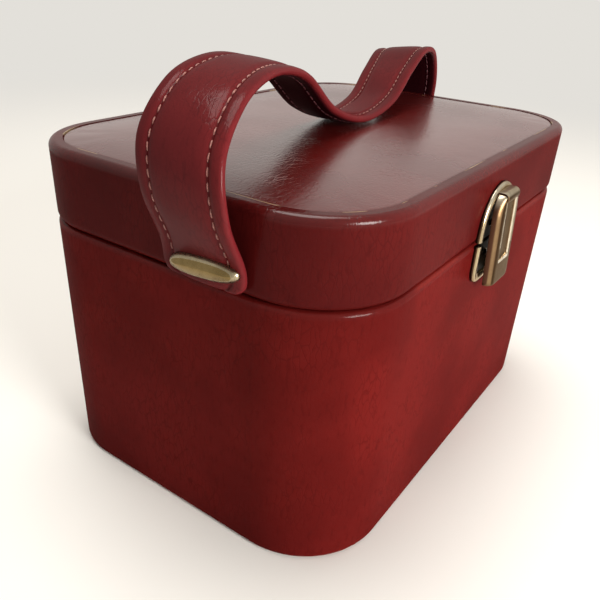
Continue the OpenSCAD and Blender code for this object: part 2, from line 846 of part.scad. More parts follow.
module clasp_lever() {
    notch_w = lug_w + 2 * notch_gap;
    pocket_w = lever_w - 2 * lever_wall;
    color(metal_colour) on_lever() difference() {
        union() {
            raised(lever_back, lever_face) lever_outline();
            translate([-channel_w / 2, lever_face - 0.2, -channel_l - lever_wall])
                cube([channel_w, thumb_lip + 0.2, lever_wall]);
        }
        translate([-notch_w / 2, -lever_w, -lug_r - notch_gap])
            cube([notch_w, 2 * lever_w, lever_w]);
        translate([-pocket_w / 2, lever_back - 1, pocket_foot])
            cube([pocket_w, lever_face - lever_skin - lever_back + 1, pocket_top - pocket_foot]);
        translate([-channel_w / 2, lever_face - channel_d, -channel_l])
            cube([channel_w, lever_w, channel_l + lever_w]);
        rotate([0, 90, 0]) {
            cylinder(h = 2 * lever_w, r = clasp_pin_r + pin_play, center = true);
            translate([-lever_w, -lever_w, -lever_w]) difference() {
                cube([lever_w, 2 * lever_w, 2 * lever_w]);
                translate([lever_w, lever_w, -1]) cylinder(h = 2 * lever_w + 2, r = lever_eye_r);
            }
        }
    }
}

module lever_spring() {
    seat = lever_face - lever_skin - 0.02;
    color(metal_colour) on_lever() {
        translate([-spring_w / 2, seat - spring_t, -spring_top - spring_l])
            cube([spring_w, spring_t, spring_l]);
        translate([-spring_w / 2, seat - spring_t, -spring_top - spring_l + spring_bump])
            rotate([0, 90, 0]) intersection() {
                cylinder(h = spring_w, r = spring_bump);
                translate([-spring_bump, -spring_bump, 0])
                    cube([2 * spring_bump, spring_bump + spring_t / 2, spring_w]);
            }
    }
}

// ---------------------------------------------------------------- tray

module tray_block(inset, z0, z1) {
    translate([0, 0, z0]) linear_extrude(z1 - z0)
        rounded(tray_l - 2 * inset, tray_w - 2 * inset, tray_r - inset);
}

module tray_shell() {
    color(velvet_colour) difference() {
        tray_block(0, tray_z, tray_top);
        tray_block(tray_wall, bay_z, tray_top + 1);
    }
}

module tray_dividers() {
    gap = 0.1;
    long_end = tray_inner_l / 2 - glue - ribbon_t - 2 * gap;
    color(velvet_colour) {
        translate([ring_wall_x, -tray_inner_w / 2 + gap, bay_z])
            cube([divider_t, tray_inner_w - 2 * gap, bay_h]);
        translate([ring_wall_x + divider_t / 2, -divider_t / 2, bay_z])
            cube([long_end - ring_wall_x - divider_t / 2, divider_t, bay_h]);
        translate([small_wall_x, -tray_inner_w / 2 + gap, bay_z])
            cube([divider_t, tray_inner_w / 2 - gap, bay_h]);
    }
}

// Floor pad of one compartment between two corners, kept inside the tray's round corners
module bay_pad(x0, y0, x1, y1) {
    translate([0, 0, bay_z]) linear_extrude(bay_pad_t) intersection() {
        translate([x0 + bay_gap, y0 + bay_gap])
            square([x1 - x0 - 2 * bay_gap, y1 - y0 - 2 * bay_gap]);
        rounded(tray_inner_l - 2 * bay_gap, tray_inner_w - 2 * bay_gap, tray_inner_r - bay_gap);
    }
}

module tray_lining() {
    left = -tray_inner_l / 2;
    right = tray_inner_l / 2;
    front = -tray_inner_w / 2;
    back = tray_inner_w / 2;
    color(velvet_colour) {
        bay_pad(left, front, ring_wall_x, back);
        bay_pad(ring_wall_x + divider_t, divider_t / 2, right, back);
        bay_pad(ring_wall_x + divider_t, front, small_wall_x, -divider_t / 2);
        bay_pad(small_wall_x + divider_t, front, right, -divider_t / 2);
    }
}

module ring_rolls() {
    pitch = 2 * roll_r + 0.4;
    first = ring_wall_x - 0.8 - roll_r;
    roll_l = tray_inner_w - 0.9 * tray_inner_r;
    color(velvet_colour) for (k = [0:roll_count - 1])
        translate([first - k * pitch, -roll_l / 2, bay_z + bay_pad_t + 0.1 + roll_r])
            rotate([-90, 0, 0]) cylinder(h = roll_l, r = roll_r);
}

// A flat pull at each end of the tray, sewn to the inside of the wall
module tray_ribbons() {
    color(leather_under_colour) for (s = [-1, 1])
        translate([s * (tray_inner_l / 2 - glue - ribbon_t / 2), 0, tray_top - ribbon_hem])
            linear_extrude(ribbon_hem + ribbon_rise) square([ribbon_t, ribbon_w], center = true);
}

body_shell();
body_cover();
base_board();
base_cover();
body_lining();
floor_pad();
locating_lip();
tray_ledge();
hinge_body_leaves();
hinge_pins();
hinge_body_rivets();
clasp_body_plate();
clasp_keeper();
clasp_body_rivets();
lid_shell();
lid_top_board();
lid_cover();
lid_pad();
lid_top_panel();
lid_lining();
mirror_glass();
mirror_frame();
strap_outer();
strap_core();
strap_lining();
handle_cap_near();
handle_cap_far();
handle_washers();
hinge_lid_leaves();
hinge_lid_rivets();
clasp_lid_plate();
clasp_pin();
clasp_lid_rivets();
clasp_lever();
lever_spring();
tray_shell();
tray_dividers();
tray_lining();
ring_rolls();
tray_ribbons();
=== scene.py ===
# %% [markdown]
# # A leather jewellery case
# This lesson dresses a burgundy leather jewellery case, a box with a hinged lid, a slumped strap
# handle and a drop-lever clasp. Its boards, hinges and plates come in as solids with their true
# sizes. We load them first, because every piece that follows is fitted round them.

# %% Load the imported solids
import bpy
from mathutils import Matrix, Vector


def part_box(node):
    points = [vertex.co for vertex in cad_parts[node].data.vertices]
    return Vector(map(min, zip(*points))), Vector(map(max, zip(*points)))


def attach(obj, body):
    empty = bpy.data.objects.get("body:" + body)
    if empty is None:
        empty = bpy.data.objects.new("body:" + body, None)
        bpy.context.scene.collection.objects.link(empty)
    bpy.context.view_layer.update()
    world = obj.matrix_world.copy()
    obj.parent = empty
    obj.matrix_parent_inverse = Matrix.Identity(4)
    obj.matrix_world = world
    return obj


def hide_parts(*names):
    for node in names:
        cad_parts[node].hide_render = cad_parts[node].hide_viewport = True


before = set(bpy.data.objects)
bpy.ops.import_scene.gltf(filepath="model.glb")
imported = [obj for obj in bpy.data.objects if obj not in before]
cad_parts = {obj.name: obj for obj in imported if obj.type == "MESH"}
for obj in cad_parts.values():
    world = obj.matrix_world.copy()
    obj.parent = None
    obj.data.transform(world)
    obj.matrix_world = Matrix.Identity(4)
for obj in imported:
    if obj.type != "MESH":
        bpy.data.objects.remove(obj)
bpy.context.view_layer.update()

# %% [markdown]
# ## Sizes
# A case maker works in millimetres and Blender in metres, so the sizes that the solids were drawn
# with are written in millimetres, and turned into metres once, where a mesh is made.

# %% Name the sizes
import random

import bmesh
import bpy
import numpy as np
from math import copysign, cos, dist, hypot, pi, radians, sin, sqrt, tanh
from mathutils import Matrix, Vector

MM = 0.001
CASE_L, CASE_W, CORNER_R = 255.0, 180.0, 41.0
SEAM_Z, LID_Z, RIM_Z, CROWN_Z = 124.75, 124.9, 160.1, 161.5
RIM_W, GROOVE_W = 6.2, 0.02
print("case", CASE_L, "x", CASE_W, "mm, seam at", SEAM_Z, "mm, rim at", RIM_Z, "mm")

# %% [markdown]
# ## The camera
# A camera is a place, three directions and a lens. Its place and turn were worked out from the
# case's own corners, so they are numbers built into a matrix, which is surer than aiming by eye.
# The small shift keeps the case where it belongs in a square frame of 600 pixels.

# %% Place the camera
FRAME_PX, FOCAL_PX = 600.0, 634.35
CENTRE_PX = (296.32, 324.05)
SENSOR = 36.0
CAMERA_MM = (-286.52, -175.17, 230.75)
YAW, PITCH, ROLL = -0.97759, 0.51473, 0.05505


def camera_matrix():
    back = Vector((sin(YAW) * cos(PITCH), -cos(YAW) * cos(PITCH), sin(PITCH)))
    right = Vector((0, 0, 1)).cross(back).normalized()
    up = back.cross(right)
    turned_right = cos(ROLL) * right + sin(ROLL) * up
    turned_up = cos(ROLL) * up - sin(ROLL) * right
    place = Vector(CAMERA_MM) * MM
    rows = [(turned_right[i], turned_up[i], back[i], place[i]) for i in range(3)]
    return Matrix(rows + [(0, 0, 0, 1)])


scene = bpy.context.scene
lens = bpy.data.cameras.new("camera")
lens.sensor_width = SENSOR
lens.lens = FOCAL_PX / FRAME_PX * SENSOR
lens.shift_x = (FRAME_PX / 2 - CENTRE_PX[0]) / FRAME_PX
lens.shift_y = (CENTRE_PX[1] - FRAME_PX / 2) / FRAME_PX
lens.clip_start, lens.clip_end = 0.01, 50
camera = bpy.data.objects.new("camera", lens)
scene.collection.objects.link(camera)
camera.matrix_world = camera_matrix()
scene.camera = camera
scene.view_settings.view_transform = "Standard"
print("lens", round(lens.lens, 2), "mm, shift", round(lens.shift_x, 4), round(lens.shift_y, 4))

# %% [markdown]
# ## Helpers for finishes
# A finish is a small web of nodes round one Principled shader. One function turns a hex colour,
# as a painter would read it, into the linear light that Blender mixes. Another adds one node with
# its settings and links, and the rest name what a finish needs often: a ramp, a noise, a bump.
# Pattern scales are given as a size in millimetres: a noise of scale 1000 has features about a
# millimetre apart, because the coordinates are in metres.

# %% Colour, scale and node helpers


def linear(hex_colour):
    """A hex sRGB colour as linear red, green, blue and alpha."""
    parts = [int(hex_colour[i:i + 2], 16) / 255 for i in (1, 3, 5)]
    return tuple(c / 12.92 if c <= 0.04045 else ((c + 0.055) / 1.055) ** 2.4 for c in parts) + (1.0,)


def per_mm(size):
    """The texture scale whose features are about this many millimetres apart."""
    return 1 / (size * MM)


def add(tree, kind, inputs=None, **settings):
    """Add one node; an input may be a value or another node's output."""
    node = tree.nodes.new("ShaderNode" + kind)
    for name, value in settings.items():
        setattr(node, name, value)
    for name, value in (inputs or {}).items():
        if isinstance(value, bpy.types.NodeSocket):
            tree.links.new(value, node.inputs[name])
        else:
            node.inputs[name].default_value = value
    return node


def new_finish(name, **constants):
    """A material with one Principled shader; constants go straight to the shader's sockets."""
    material = bpy.data.materials.new(name)
    material.use_nodes = True
    tree = material.node_tree
    shader = tree.nodes["Principled BSDF"]
    for socket, value in constants.items():
        shader.inputs[socket.replace("_", " ")].default_value = value
    return material, tree, shader


def feed(tree, shader, **outputs):
    """Link node outputs to the shader's sockets of the same name."""
    for socket, output in outputs.items():
        tree.links.new(output, shader.inputs[socket.replace("_", " ")])


def mixed(tree, factor, first, second):
    """Mix two shader nodes by a factor output."""
    return add(tree, "MixShader", {0: factor, 1: first.outputs[0], 2: second.outputs[0]}).outputs[0]


def maths(tree, operation, a, b=0.0):
    return add(tree, "Math", {0: a, 1: b}, operation=operation).outputs[0]


def ramp(tree, value, low, high, to_low=0.0, to_high=1.0):
    """Clamp a value into a range and carry it to another."""
    return add(tree, "MapRange", {"Value": value, "From Min": low, "From Max": high,
                                  "To Min": to_low, "To Max": to_high},
               interpolation_type="SMOOTHSTEP").outputs["Result"]


def stretched(tree, vector, scale):
    return add(tree, "Mapping", {"Vector": vector, "Scale": scale}).outputs["Vector"]


def noise(tree, place, size, detail, roughness=0.5, output="Fac", **more):
    """A cloudy pattern whose features are about size millimetres apart."""
    return add(tree, "TexNoise", {"Vector": place, "Scale": per_mm(size), "Detail": detail,
                                  "Roughness": roughness, **more}).outputs[output]


def bump(tree, height, strength, depth, over=None):
    """The normal of a bump this deep in millimetres, laid over another bump's normal if given."""
    inputs = {"Height": height, "Strength": strength, "Distance": depth * MM}
    if over is not None:
        inputs["Normal"] = over
    return add(tree, "Bump", inputs).outputs["Normal"]


def layered(tree, colour, *layers):
    """Lay (factor, colour) pairs over a first colour; a colour is a hex string or an output."""
    for factor, above in layers:
        under, over = [linear(c) if isinstance(c, str) else c for c in (colour, above)]
        colour = add(tree, "Mix", {0: factor, 6: under, 7: over}, data_type="RGBA").outputs[2]
    return colour


print("burgundy in linear light:", [round(c, 4) for c in linear("#601614")])

# %% [markdown]
# ## Finished leather
# The case is covered in pigmented calf leather that was plated under a hot press, so it has a
# closed, glossy skin with a fine pebble and shallow creases. Light gives it away in three ways: a
# deep colour that is never even, a sharp shine that the grain breaks up, and edges that are a
# little lighter, partly from rubbing and partly a painted highlight. The creases part the skin
# into cells of about 2.6 mm. The real pebble is about 0.5 mm, too fine for this picture, so it is
# drawn at 1.1 mm. A slow wave of 42 mm lets the shine wander, as it does where leather is pasted
# to board. The lid is given a darker red than the walls, as painted shade. A thin clear coat does
# their shining, and the leather under it reflects nothing, or it would turn grey where it is seen
# along the surface.

# %% Finish: plated calf leather


def groove_distance(tree, vector):
    """Distance in metres from the groove between the lid's rim and its padded top."""
    half = ((CASE_L / 2 - RIM_W) * MM, (CASE_W / 2 - RIM_W) * MM)
    radius = (CORNER_R - RIM_W) * MM
    parts = add(tree, "SeparateXYZ", {"Vector": vector})
    squares = []
    for axis, size in zip("XY", half):
        along = maths(tree, "ABSOLUTE", parts.outputs[axis])
        beyond = maths(tree, "MAXIMUM", maths(tree, "SUBTRACT", along, size - radius), 0.0)
        squares.append(maths(tree, "POWER", beyond, 2.0))
    corner = maths(tree, "SQRT", maths(tree, "ADD", *squares))
    return maths(tree, "ABSOLUTE", maths(tree, "SUBTRACT", corner, radius))


def plated_leather(name, tone, deep, worn="#8a2a22", creases=(1, 1, 0.3), run=False,
                   rubbed_and_painted_highlight_heights=(), groove=False, shine=0.30, gloss=0.0, lacquer=0.0, polished=()):
    """Plated calf leather. creases stretches the fine lines; run follows a strap's length.
    rubbed_and_painted_highlight_heights lists (height, reach) of edges made a little lighter,
    partly as wear and partly as a painted highlight, and polished lists (from height, to height,
    more lacquer) where hands have polished them."""
    material, tree, shader = new_finish(name, Specular_IOR_Level=gloss, Coat_Weight=lacquer,
                                        Coat_Roughness=0.17, Coat_IOR=1.5)
    if run:
        place = add(tree, "Attribute", attribute_name="run").outputs["Vector"]
    else:
        place = add(tree, "TexCoord").outputs["Object"]
    mottle = noise(tree, place, 48, 4.0, 0.55)
    streaks = noise(tree, stretched(tree, place, creases), 1.8, 3.0, 0.6)
    wander = noise(tree, place, 5, 2.0, output="Color")
    bent = add(tree, "VectorMath", {0: wander, 1: (2.4 * MM,) * 3, 2: place},
               operation="MULTIPLY_ADD").outputs["Vector"]
    cells = add(tree, "TexVoronoi", {"Vector": stretched(tree, bent, creases), "Scale": per_mm(2.6)},
                feature="DISTANCE_TO_EDGE").outputs["Distance"]
    patches = noise(tree, place, 24, 3.0)
    cracks = maths(tree, "MULTIPLY", ramp(tree, cells, 0.0, 0.09, 1.0, 0.0),
                   ramp(tree, patches, 0.42, 0.62, 0.15, 1.0))
    pebble = add(tree, "TexVoronoi", {"Vector": place, "Scale": per_mm(1.1), "Smoothness": 0.5},
                 feature="SMOOTH_F1").outputs["Distance"]
    scuffs = ramp(tree, noise(tree, place, 6, 6.0, 0.8), 0.73, 0.78, 0.0, 0.4)
    height = add(tree, "SeparateXYZ", {"Vector": place}).outputs["Z"]

    layers = [(ramp(tree, mottle, 0.34, 0.66, 0.45, 1.0), tone),
              (ramp(tree, streaks, 0.30, 0.47, 0.35, 0.0), deep),
              (maths(tree, "MULTIPLY", cracks, 0.45), deep)]
    # Lighter bands at these heights: partly rubbed wear, partly a painted highlight on the edges.
    for edge, reach in rubbed_and_painted_highlight_heights:
        near = maths(tree, "ABSOLUTE", maths(tree, "SUBTRACT", height, edge * MM))
        rub_and_painted_highlight = maths(tree, "MULTIPLY", ramp(tree, near, 0.0, reach * MM, 0.4, 0.0),
                    ramp(tree, mottle, 0.4, 0.6, 0.2, 1.0))
        layers.append((rub_and_painted_highlight, worn))
    if run:
        edge = add(tree, "Attribute", attribute_name="rubbed").outputs["Fac"]
        layers.append((maths(tree, "MULTIPLY", edge, 0.5), worn))
    if groove:
        line = ramp(tree, groove_distance(tree, place), 0.2 * MM, 0.7 * MM, 1.0, 0.0)
        high = ramp(tree, height, 0.150, 0.151)
        frayed = maths(tree, "MULTIPLY", maths(tree, "MULTIPLY", line, high),
                       ramp(tree, patches, 0.53, 0.60, 0.0, 0.8))
        layers.append((frayed, "#a08a6a"))

    dull = ramp(tree, mottle, 0.3, 0.7, shine + 0.05, shine - 0.03)
    more = lacquer
    for start, end, amount in polished:
        more = maths(tree, "ADD", ramp(tree, height, start * MM, end * MM, 0.0, amount), more)
    if polished:
        feed(tree, shader, Coat_Weight=more)
    normal = bump(tree, noise(tree, place, 42, 1.0), 0.45, 0.8)
    for relief, strength, depth in ((streaks, 0.25, 0.10), (cracks, 0.4, -0.08), (pebble, 0.35, 0.09)):
        normal = bump(tree, relief, strength, depth, normal)
    feed(tree, shader, Base_Color=layered(tree, deep, *layers, (scuffs, worn)), Normal=normal,
         Roughness=maths(tree, "ADD", dull, maths(tree, "MULTIPLY", scuffs, 0.3)), Coat_Normal=normal)
    return material


# The lighter bands at the seam and base edges are partly wear and partly painted highlight.
case_leather = plated_leather("plated_calf_leather_walls", "#601614", "#450c0b",
                              rubbed_and_painted_highlight_heights=((124.0, 1.4), (0.8, 2.0)), lacquer=0.05,
                              polished=((121.5, 124.0, 0.2),))
# The lid's red, darker than the walls', is painted shade.
lid_leather_painted_shade = plated_leather("plated_calf_leather_lid_painted_shade", "#521312", "#3b0a0a",
                             rubbed_and_painted_highlight_heights=((125.6, 1.4),), groove=True, lacquer=0.08,
                             polished=((155.5, 159.5, 0.5),))
top_leather = plated_leather("plated_calf_leather_top", "#5e1310", "#450c0a",
                             creases=(0.6, 1, 1), groove=True, shine=0.25, gloss=0.5, lacquer=0.45)
strap_leather = plated_leather("plated_calf_leather_strap", "#5f1b1d", "#461215", "#702226",
                               creases=(0.4, 1, 1), run=True, shine=0.32, lacquer=0.18)
under_leather = plated_leather("plum_lining_leather", "#2c090f", "#1f070b", "#421419",
                               creases=(1, 0.4, 1), run=True, shine=0.42, gloss=0.02)
leathers = (case_leather, lid_leather_painted_shade, top_leather, strap_leather, under_leather)
print("leathers:", [m.name for m in leathers])

# %% [markdown]
# ## Nickel and steel
# The clasp, the end caps and the hinges are stamped brass, plated with nickel and then darkened
# and brushed back, which leaves a warm champagne metal with dull brown in its low places. A metal
# takes its colour from its reflection, so it is fully metallic and keeps the default IOR. The
# brush marks are about 0.2 mm apart and are drawn at 0.5 mm. On the clasp, light and shade are
# painted into the colour: the lever, its lug and the beads are dark where they face the front
# and light where they face up, a painted reflection; the channel's walls and lip carry a painted
# highlight, the ridges a painted reflection stripe, and the plates' flat sheets a painted shadow.

# %% Finish: darkened nickel plate and spring steel


def brushed_metal(name, bright, dark, roughness, along=(1, 1, 0.05)):
    material, tree, shader = new_finish(name, Metallic=1.0)
    place = add(tree, "TexCoord").outputs["Object"]
    tarnish = noise(tree, place, 9, 5.0, 0.65)
    brush = noise(tree, stretched(tree, place, along), 0.5, 2.0)
    worn = ramp(tree, tarnish, 0.3, 0.7, roughness + 0.06, roughness - 0.03)
    feed(tree, shader, Normal=bump(tree, brush, 0.18, 0.04),
         Base_Color=layered(tree, dark, (ramp(tree, tarnish, 0.35, 0.62, 0.35, 1.0), bright)),
         Roughness=maths(tree, "ADD", worn, ramp(tree, brush, 0.3, 0.7, -0.04, 0.06)))
    return material


def nickel_painted_by_facing(name, front, slanted, side, up, roughness):
    """Nickel with a painted reflection: its colour follows the way the metal faces, front, slanted,
    aside or up.
    """
    material, tree, shader = new_finish(name, Metallic=1.0)
    shader.inputs["Specular Tint"].default_value = linear("#e7dacb")
    coords = add(tree, "TexCoord").outputs
    facing = add(tree, "SeparateXYZ", {"Vector": coords["Normal"]}).outputs
    aside = maths(tree, "ABSOLUTE", facing["X"])
    tarnish = noise(tree, coords["Object"], 7, 5.0, 0.65)
    colour = layered(tree, front, (ramp(tree, aside, 0.34, 0.5), slanted),
                     (ramp(tree, aside, 0.72, 0.86), side), (ramp(tree, facing["Z"], 0.25, 0.7), up),
                     (ramp(tree, tarnish, 0.38, 0.62, 0.3, 0.0), side))
    feed(tree, shader, Base_Color=colour,
         Roughness=ramp(tree, tarnish, 0.3, 0.7, roughness + 0.07, roughness - 0.03))
    return material


nickel = brushed_metal("darkened_nickel_plate", "#7b6e58", "#5a4d3a", 0.17)
# Painted reflection: the lever and its lug, and the plates' beads, are dark where they face the front
# and light where they face up.
lever_nickel_painted_reflection = nickel_painted_by_facing("nickel_lever_painted_reflection", "#35261a", "#7d6549", "#4a3024", "#c3b8a2", 0.3)
bead_nickel_painted_reflection = nickel_painted_by_facing("nickel_beads_painted_reflection", "#c0b196", "#a79676", "#4f3a2c", "#cfc4ae", 0.22)
# Painted highlight: bright nickel for the lever's channel walls and lip.
painted_highlight_nickel = brushed_metal("nickel_painted_highlight", "#d8cdb8", "#a99c84", 0.2)
# Painted shadow: near-black nickel for the plates' flat sheets, which lie in shade.
painted_shadow_sheet_nickel = brushed_metal("nickel_sheet_painted_shadow", "#2c2118", "#1d150f", 0.35)
cap_nickel = brushed_metal("brushed_nickel_caps", "#a3967c", "#83765e", 0.24, along=(1, 0.06, 1))
# Darker gold for the caps' domes; on the lever's ridges the same gold is a painted reflection stripe.
gold_cap_faces_and_ridge_reflection = brushed_metal("darker_gold_cap_faces_and_painted_ridge_reflection", "#84704a", "#6c5936", 0.22, along=(1, 0.06, 1))
steel = brushed_metal("spring_steel", "#a9abad", "#7f8286", 0.3)
metals = (nickel, lever_nickel_painted_reflection, bead_nickel_painted_reflection, painted_highlight_nickel, painted_shadow_sheet_nickel, cap_nickel, gold_cap_faces_and_ridge_reflection, steel)
print("metals:", [m.name for m in metals])

# %% [markdown]
# ## Velvet, board, thread, satin, foam and mirror
# The inside is lined with cotton velvet. Its pile stands up, so it is dark head on and pale where
# it is seen along the surface: that is what sheen does. Greyboard is pressed paper, dull and
# flecked. The thread is waxed cotton, the tray's pulls are satin ribbon, and the mirror is float
# glass silvered on its back, which from the front is a sharp metal with a faint green cast.

# %% Finish: the inside materials


def cotton_velvet(name, tone, deep):
    material, tree, shader = new_finish(name, Roughness=0.92, Specular_IOR_Level=0.2,
                                        Sheen_Weight=0.55, Sheen_Roughness=0.35,
                                        Sheen_Tint=linear("#c06a70"))
    place = add(tree, "TexCoord").outputs["Object"]
    strokes = noise(tree, place, 14, 4.0, Distortion=1.2)
    pile = noise(tree, place, 0.7, 3.0, 0.7)
    colour = layered(tree, deep, (ramp(tree, strokes, 0.36, 0.64, 0.5, 1.0), tone),
                     (ramp(tree, pile, 0.35, 0.6, 0.5, 0.0), deep))
    feed(tree, shader, Base_Color=colour,
         Normal=bump(tree, pile, 0.6, 0.25, bump(tree, strokes, 0.3, 0.5)))
    return material


def fibre_finish(name, tone, deep, size, roughness, depth, along=(1, 1, 1), **constants):
    """A dull or satin surface of fibres: board, thread, ribbon or foam."""
    material, tree, shader = new_finish(name, Roughness=roughness, **constants)
    place = stretched(tree, add(tree, "TexCoord").outputs["Object"], along)
    fibres = noise(tree, place, size, 5.0, 0.7)
    feed(tree, shader, Normal=bump(tree, fibres, 0.5, depth),
         Base_Color=layered(tree, deep, (ramp(tree, fibres, 0.35, 0.65), tone)))
    return material


def silvered_glass(name):
    material, tree, shader = new_finish(name, Metallic=1.0, Coat_Weight=1.0, Coat_Roughness=0.0)
    place = add(tree, "TexCoord").outputs["Object"]
    haze = noise(tree, place, 30, 3.0)
    feed(tree, shader, Base_Color=layered(tree, "#d9e0de", (haze, "#e6ebe9")),
         Roughness=ramp(tree, haze, 0.3, 0.7, 0.015, 0.05))
    return material


velvet = cotton_velvet("cotton_velvet", "#6a1722", "#3e0b14")
board = fibre_finish("pressed_greyboard", "#b7a07a", "#8f7a58", 1.4, 0.9, 0.12)
thread = fibre_finish("waxed_cotton_thread", "#b27a70", "#844a42", 0.6, 0.45, 0.08)
under_thread = fibre_finish("waxed_plum_thread", "#6c3a40", "#4a242a", 0.6, 0.5, 0.08)
satin = fibre_finish("satin_ribbon", "#8a2a38", "#641a26", 0.5, 0.38, 0.04, along=(1, 1, 0.08),
                     Sheen_Weight=0.3)
foam = fibre_finish("polyurethane_foam", "#d9c9a0", "#c3b186", 0.8, 0.95, 0.2)
mirror_silver = silvered_glass("silvered_glass")
print("inside finishes:", [m.name for m in (velvet, board, thread, satin, foam, mirror_silver)])

# %% [markdown]
# ## Finishes on the solids that stay
# The boards, the lining, the hinges and the leather walls already have the right shape, so they
# stay and only take a finish. The leather on the walls is stretched over board and shows no
# padding.

# %% Dress the solids that stay
stays = {
    case_leather: ["body_cover", "base_cover"],
    lid_leather_painted_shade: ["lid_cover"],
    board: ["body_shell", "base_board", "tray_ledge", "lid_shell", "lid_top_board"],
    velvet: ["body_lining", "locating_lip", "lid_lining", "mirror_frame", "tray_shell",
             "tray_dividers"],
    nickel: ["hinge_body_leaves", "hinge_lid_leaves", "hinge_body_rivets", "hinge_lid_rivets",
             "hinge_pins", "clasp_keeper", "clasp_body_rivets", "clasp_lid_rivets"],
    steel: ["handle_washers", "lever_spring"],
    mirror_silver: ["mirror_glass"],
}
for finish, names in stays.items():
    for name in names:
        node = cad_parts[name]
        node.data.materials.clear()
        node.data.materials.append(finish)
print("dressed", sum(len(names) for names in stays.values()), "solids")

# %% [markdown]
# ## Mesh helpers
# Most pieces here are skins over a row of rings: a strap is one ring repeated along its length, a
# pad is one outline shrunk towards its middle. One function joins rings into faces, and another
# makes the object, gives it its finish and hands it to its body.

# %% Rings into meshes


def turns(start, stop, steps):
    """Angles in radians from start to stop, given in degrees, with both ends included."""
    return [radians(start + (stop - start) * i / steps) for i in range(steps + 1)]


def circle(count):
    """Angles in radians all the way round."""
    return [radians(360 * k / count) for k in range(count)]


def beside(line, i):
    """The unit direction that is square to a line of (x, z) points at its point i."""
    (x0, z0), (x1, z1) = line[max(0, i - 1)], line[min(len(line) - 1, i + 1)]
    size = hypot(x1 - x0, z1 - z0)
    return (z1 - z0) / size, -(x1 - x0) / size


def skin(rings, close_ends=True):
    """Join closed rings of equal length with quads; the ends get one face each."""
    count = len(rings[0])
    points = [tuple(p) for ring in rings for p in ring]
    faces = []
    for k in range(len(rings) - 1):
        a, b = k * count, (k + 1) * count
        faces += [(a + i, a + (i + 1) % count, b + (i + 1) % count, b + i) for i in range(count)]
    if close_ends:
        faces.append(tuple(range(count))[::-1])
        faces.append(tuple(range((len(rings) - 1) * count, len(rings) * count)))
    return points, faces


def join_parts(parts):
    """Several (points, faces) lists as one."""
    points, faces = [], []
    for more_points, more_faces in parts:
        start = len(points)
        points += list(more_points)
        faces += [tuple(start + i for i in face) for face in more_faces]
    return points, faces


def make_piece(name, points, faces, finish, body, slot=None, replaces=(), sharp=35.0):
    """A mesh object from points in millimetres, riding on a body."""
    mesh = bpy.data.meshes.new(name)
    mesh.from_pydata([(x * MM, y * MM, z * MM) for x, y, z in points], [], faces)
    shape = bmesh.new()
    shape.from_mesh(mesh)
    bmesh.ops.recalc_face_normals(shape, faces=shape.faces)
    shape.to_mesh(mesh)
    shape.free()
    mesh.polygons.foreach_set("use_smooth", [True] * len(mesh.polygons))
    mesh.set_sharp_from_angle(angle=radians(sharp))
    mesh.materials.append(finish)
    piece = bpy.data.objects.new(name, mesh)
    scene.collection.objects.link(piece)
    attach(piece, body)
    if replaces:
        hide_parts(*replaces)
    print(f"{name}: {len(points)} points, {len(faces)} faces")
    return piece


def keep_modifiers(piece):
    """Turn a piece's modifiers into plain mesh."""
    bpy.context.view_layer.update()
    seen = piece.evaluated_get(bpy.context.evaluated_depsgraph_get())
    mesh = bpy.data.meshes.new_from_object(seen)
    old = piece.data
    piece.modifiers.clear()
    piece.data = mesh
    bpy.data.meshes.remove(old)
    mesh.polygons.foreach_set("use_smooth", [True] * len(mesh.polygons))


print("helpers ready")

# %% [markdown]
# ## The padded top
# The lid's top is a sheet of leather over a thin pad, glued down all round in a groove inside the
# rim. It falls steeply into the groove, rises over about 20 mm and is almost level in the middle.
# We draw it as outlines shrunk towards the middle, each a little higher. A short cloth simulation
# then presses it up from below with its edge held, so that the swell comes from the leather's own
# stiffness.

# %% Outlines of rounded rectangles


def rounded_ring(low, high, radii, inset, z, corner_steps, side_steps):
    """A ring round a rectangle, from the middle of its right side; radii start at +X+Y."""
    x0, y0, x1, y1 = low[0] + inset, low[1] + inset, high[0] - inset, high[1] - inset
    r = [max(1.0, min(q - inset, (x1 - x0) / 2 - 0.1, (y1 - y0) / 2 - 0.1)) for q in radii]
    centres = [(x1 - r[0], y1 - r[0]), (x0 + r[1], y1 - r[1]), (x0 + r[2], y0 + r[2]),
               (x1 - r[3], y0 + r[3])]
    arcs = [[(x + r[k] * cos(t), y + r[k] * sin(t)) for t in turns(90 * k, 90 * k + 90, corner_steps)]
            for k, (x, y) in enumerate(centres)]
    points = []
    for k, arc in enumerate(arcs):
        (xa, ya), (xb, yb) = arcs[k - 1][-1], arc[0]
        steps = side_steps[(k + 1) % 2]
        points += [(xa + (xb - xa) * i / steps, ya + (yb - ya) * i / steps) for i in range(1, steps)]
        points += arc
    middle = side_steps[1] // 2 - 1
    return [(x, y, z) for x, y in points[middle:] + points[:middle]]


def ringed_sheet(rings):
    """Quads between rings, with the last ring closed by a strip across its narrow middle."""
    points, faces = skin(rings, close_ends=False)
    count = len(rings[0])
    first = (len(rings) - 1) * count
    for i in range(count // 2):
        a, b, c, d = i, i + 1, (count - i - 1) % count, (count - i) % count
        face = [first + j for j in dict.fromkeys((a, b, c, d))]
        if len(face) > 2:
            faces.append(tuple(face))
    return points, faces


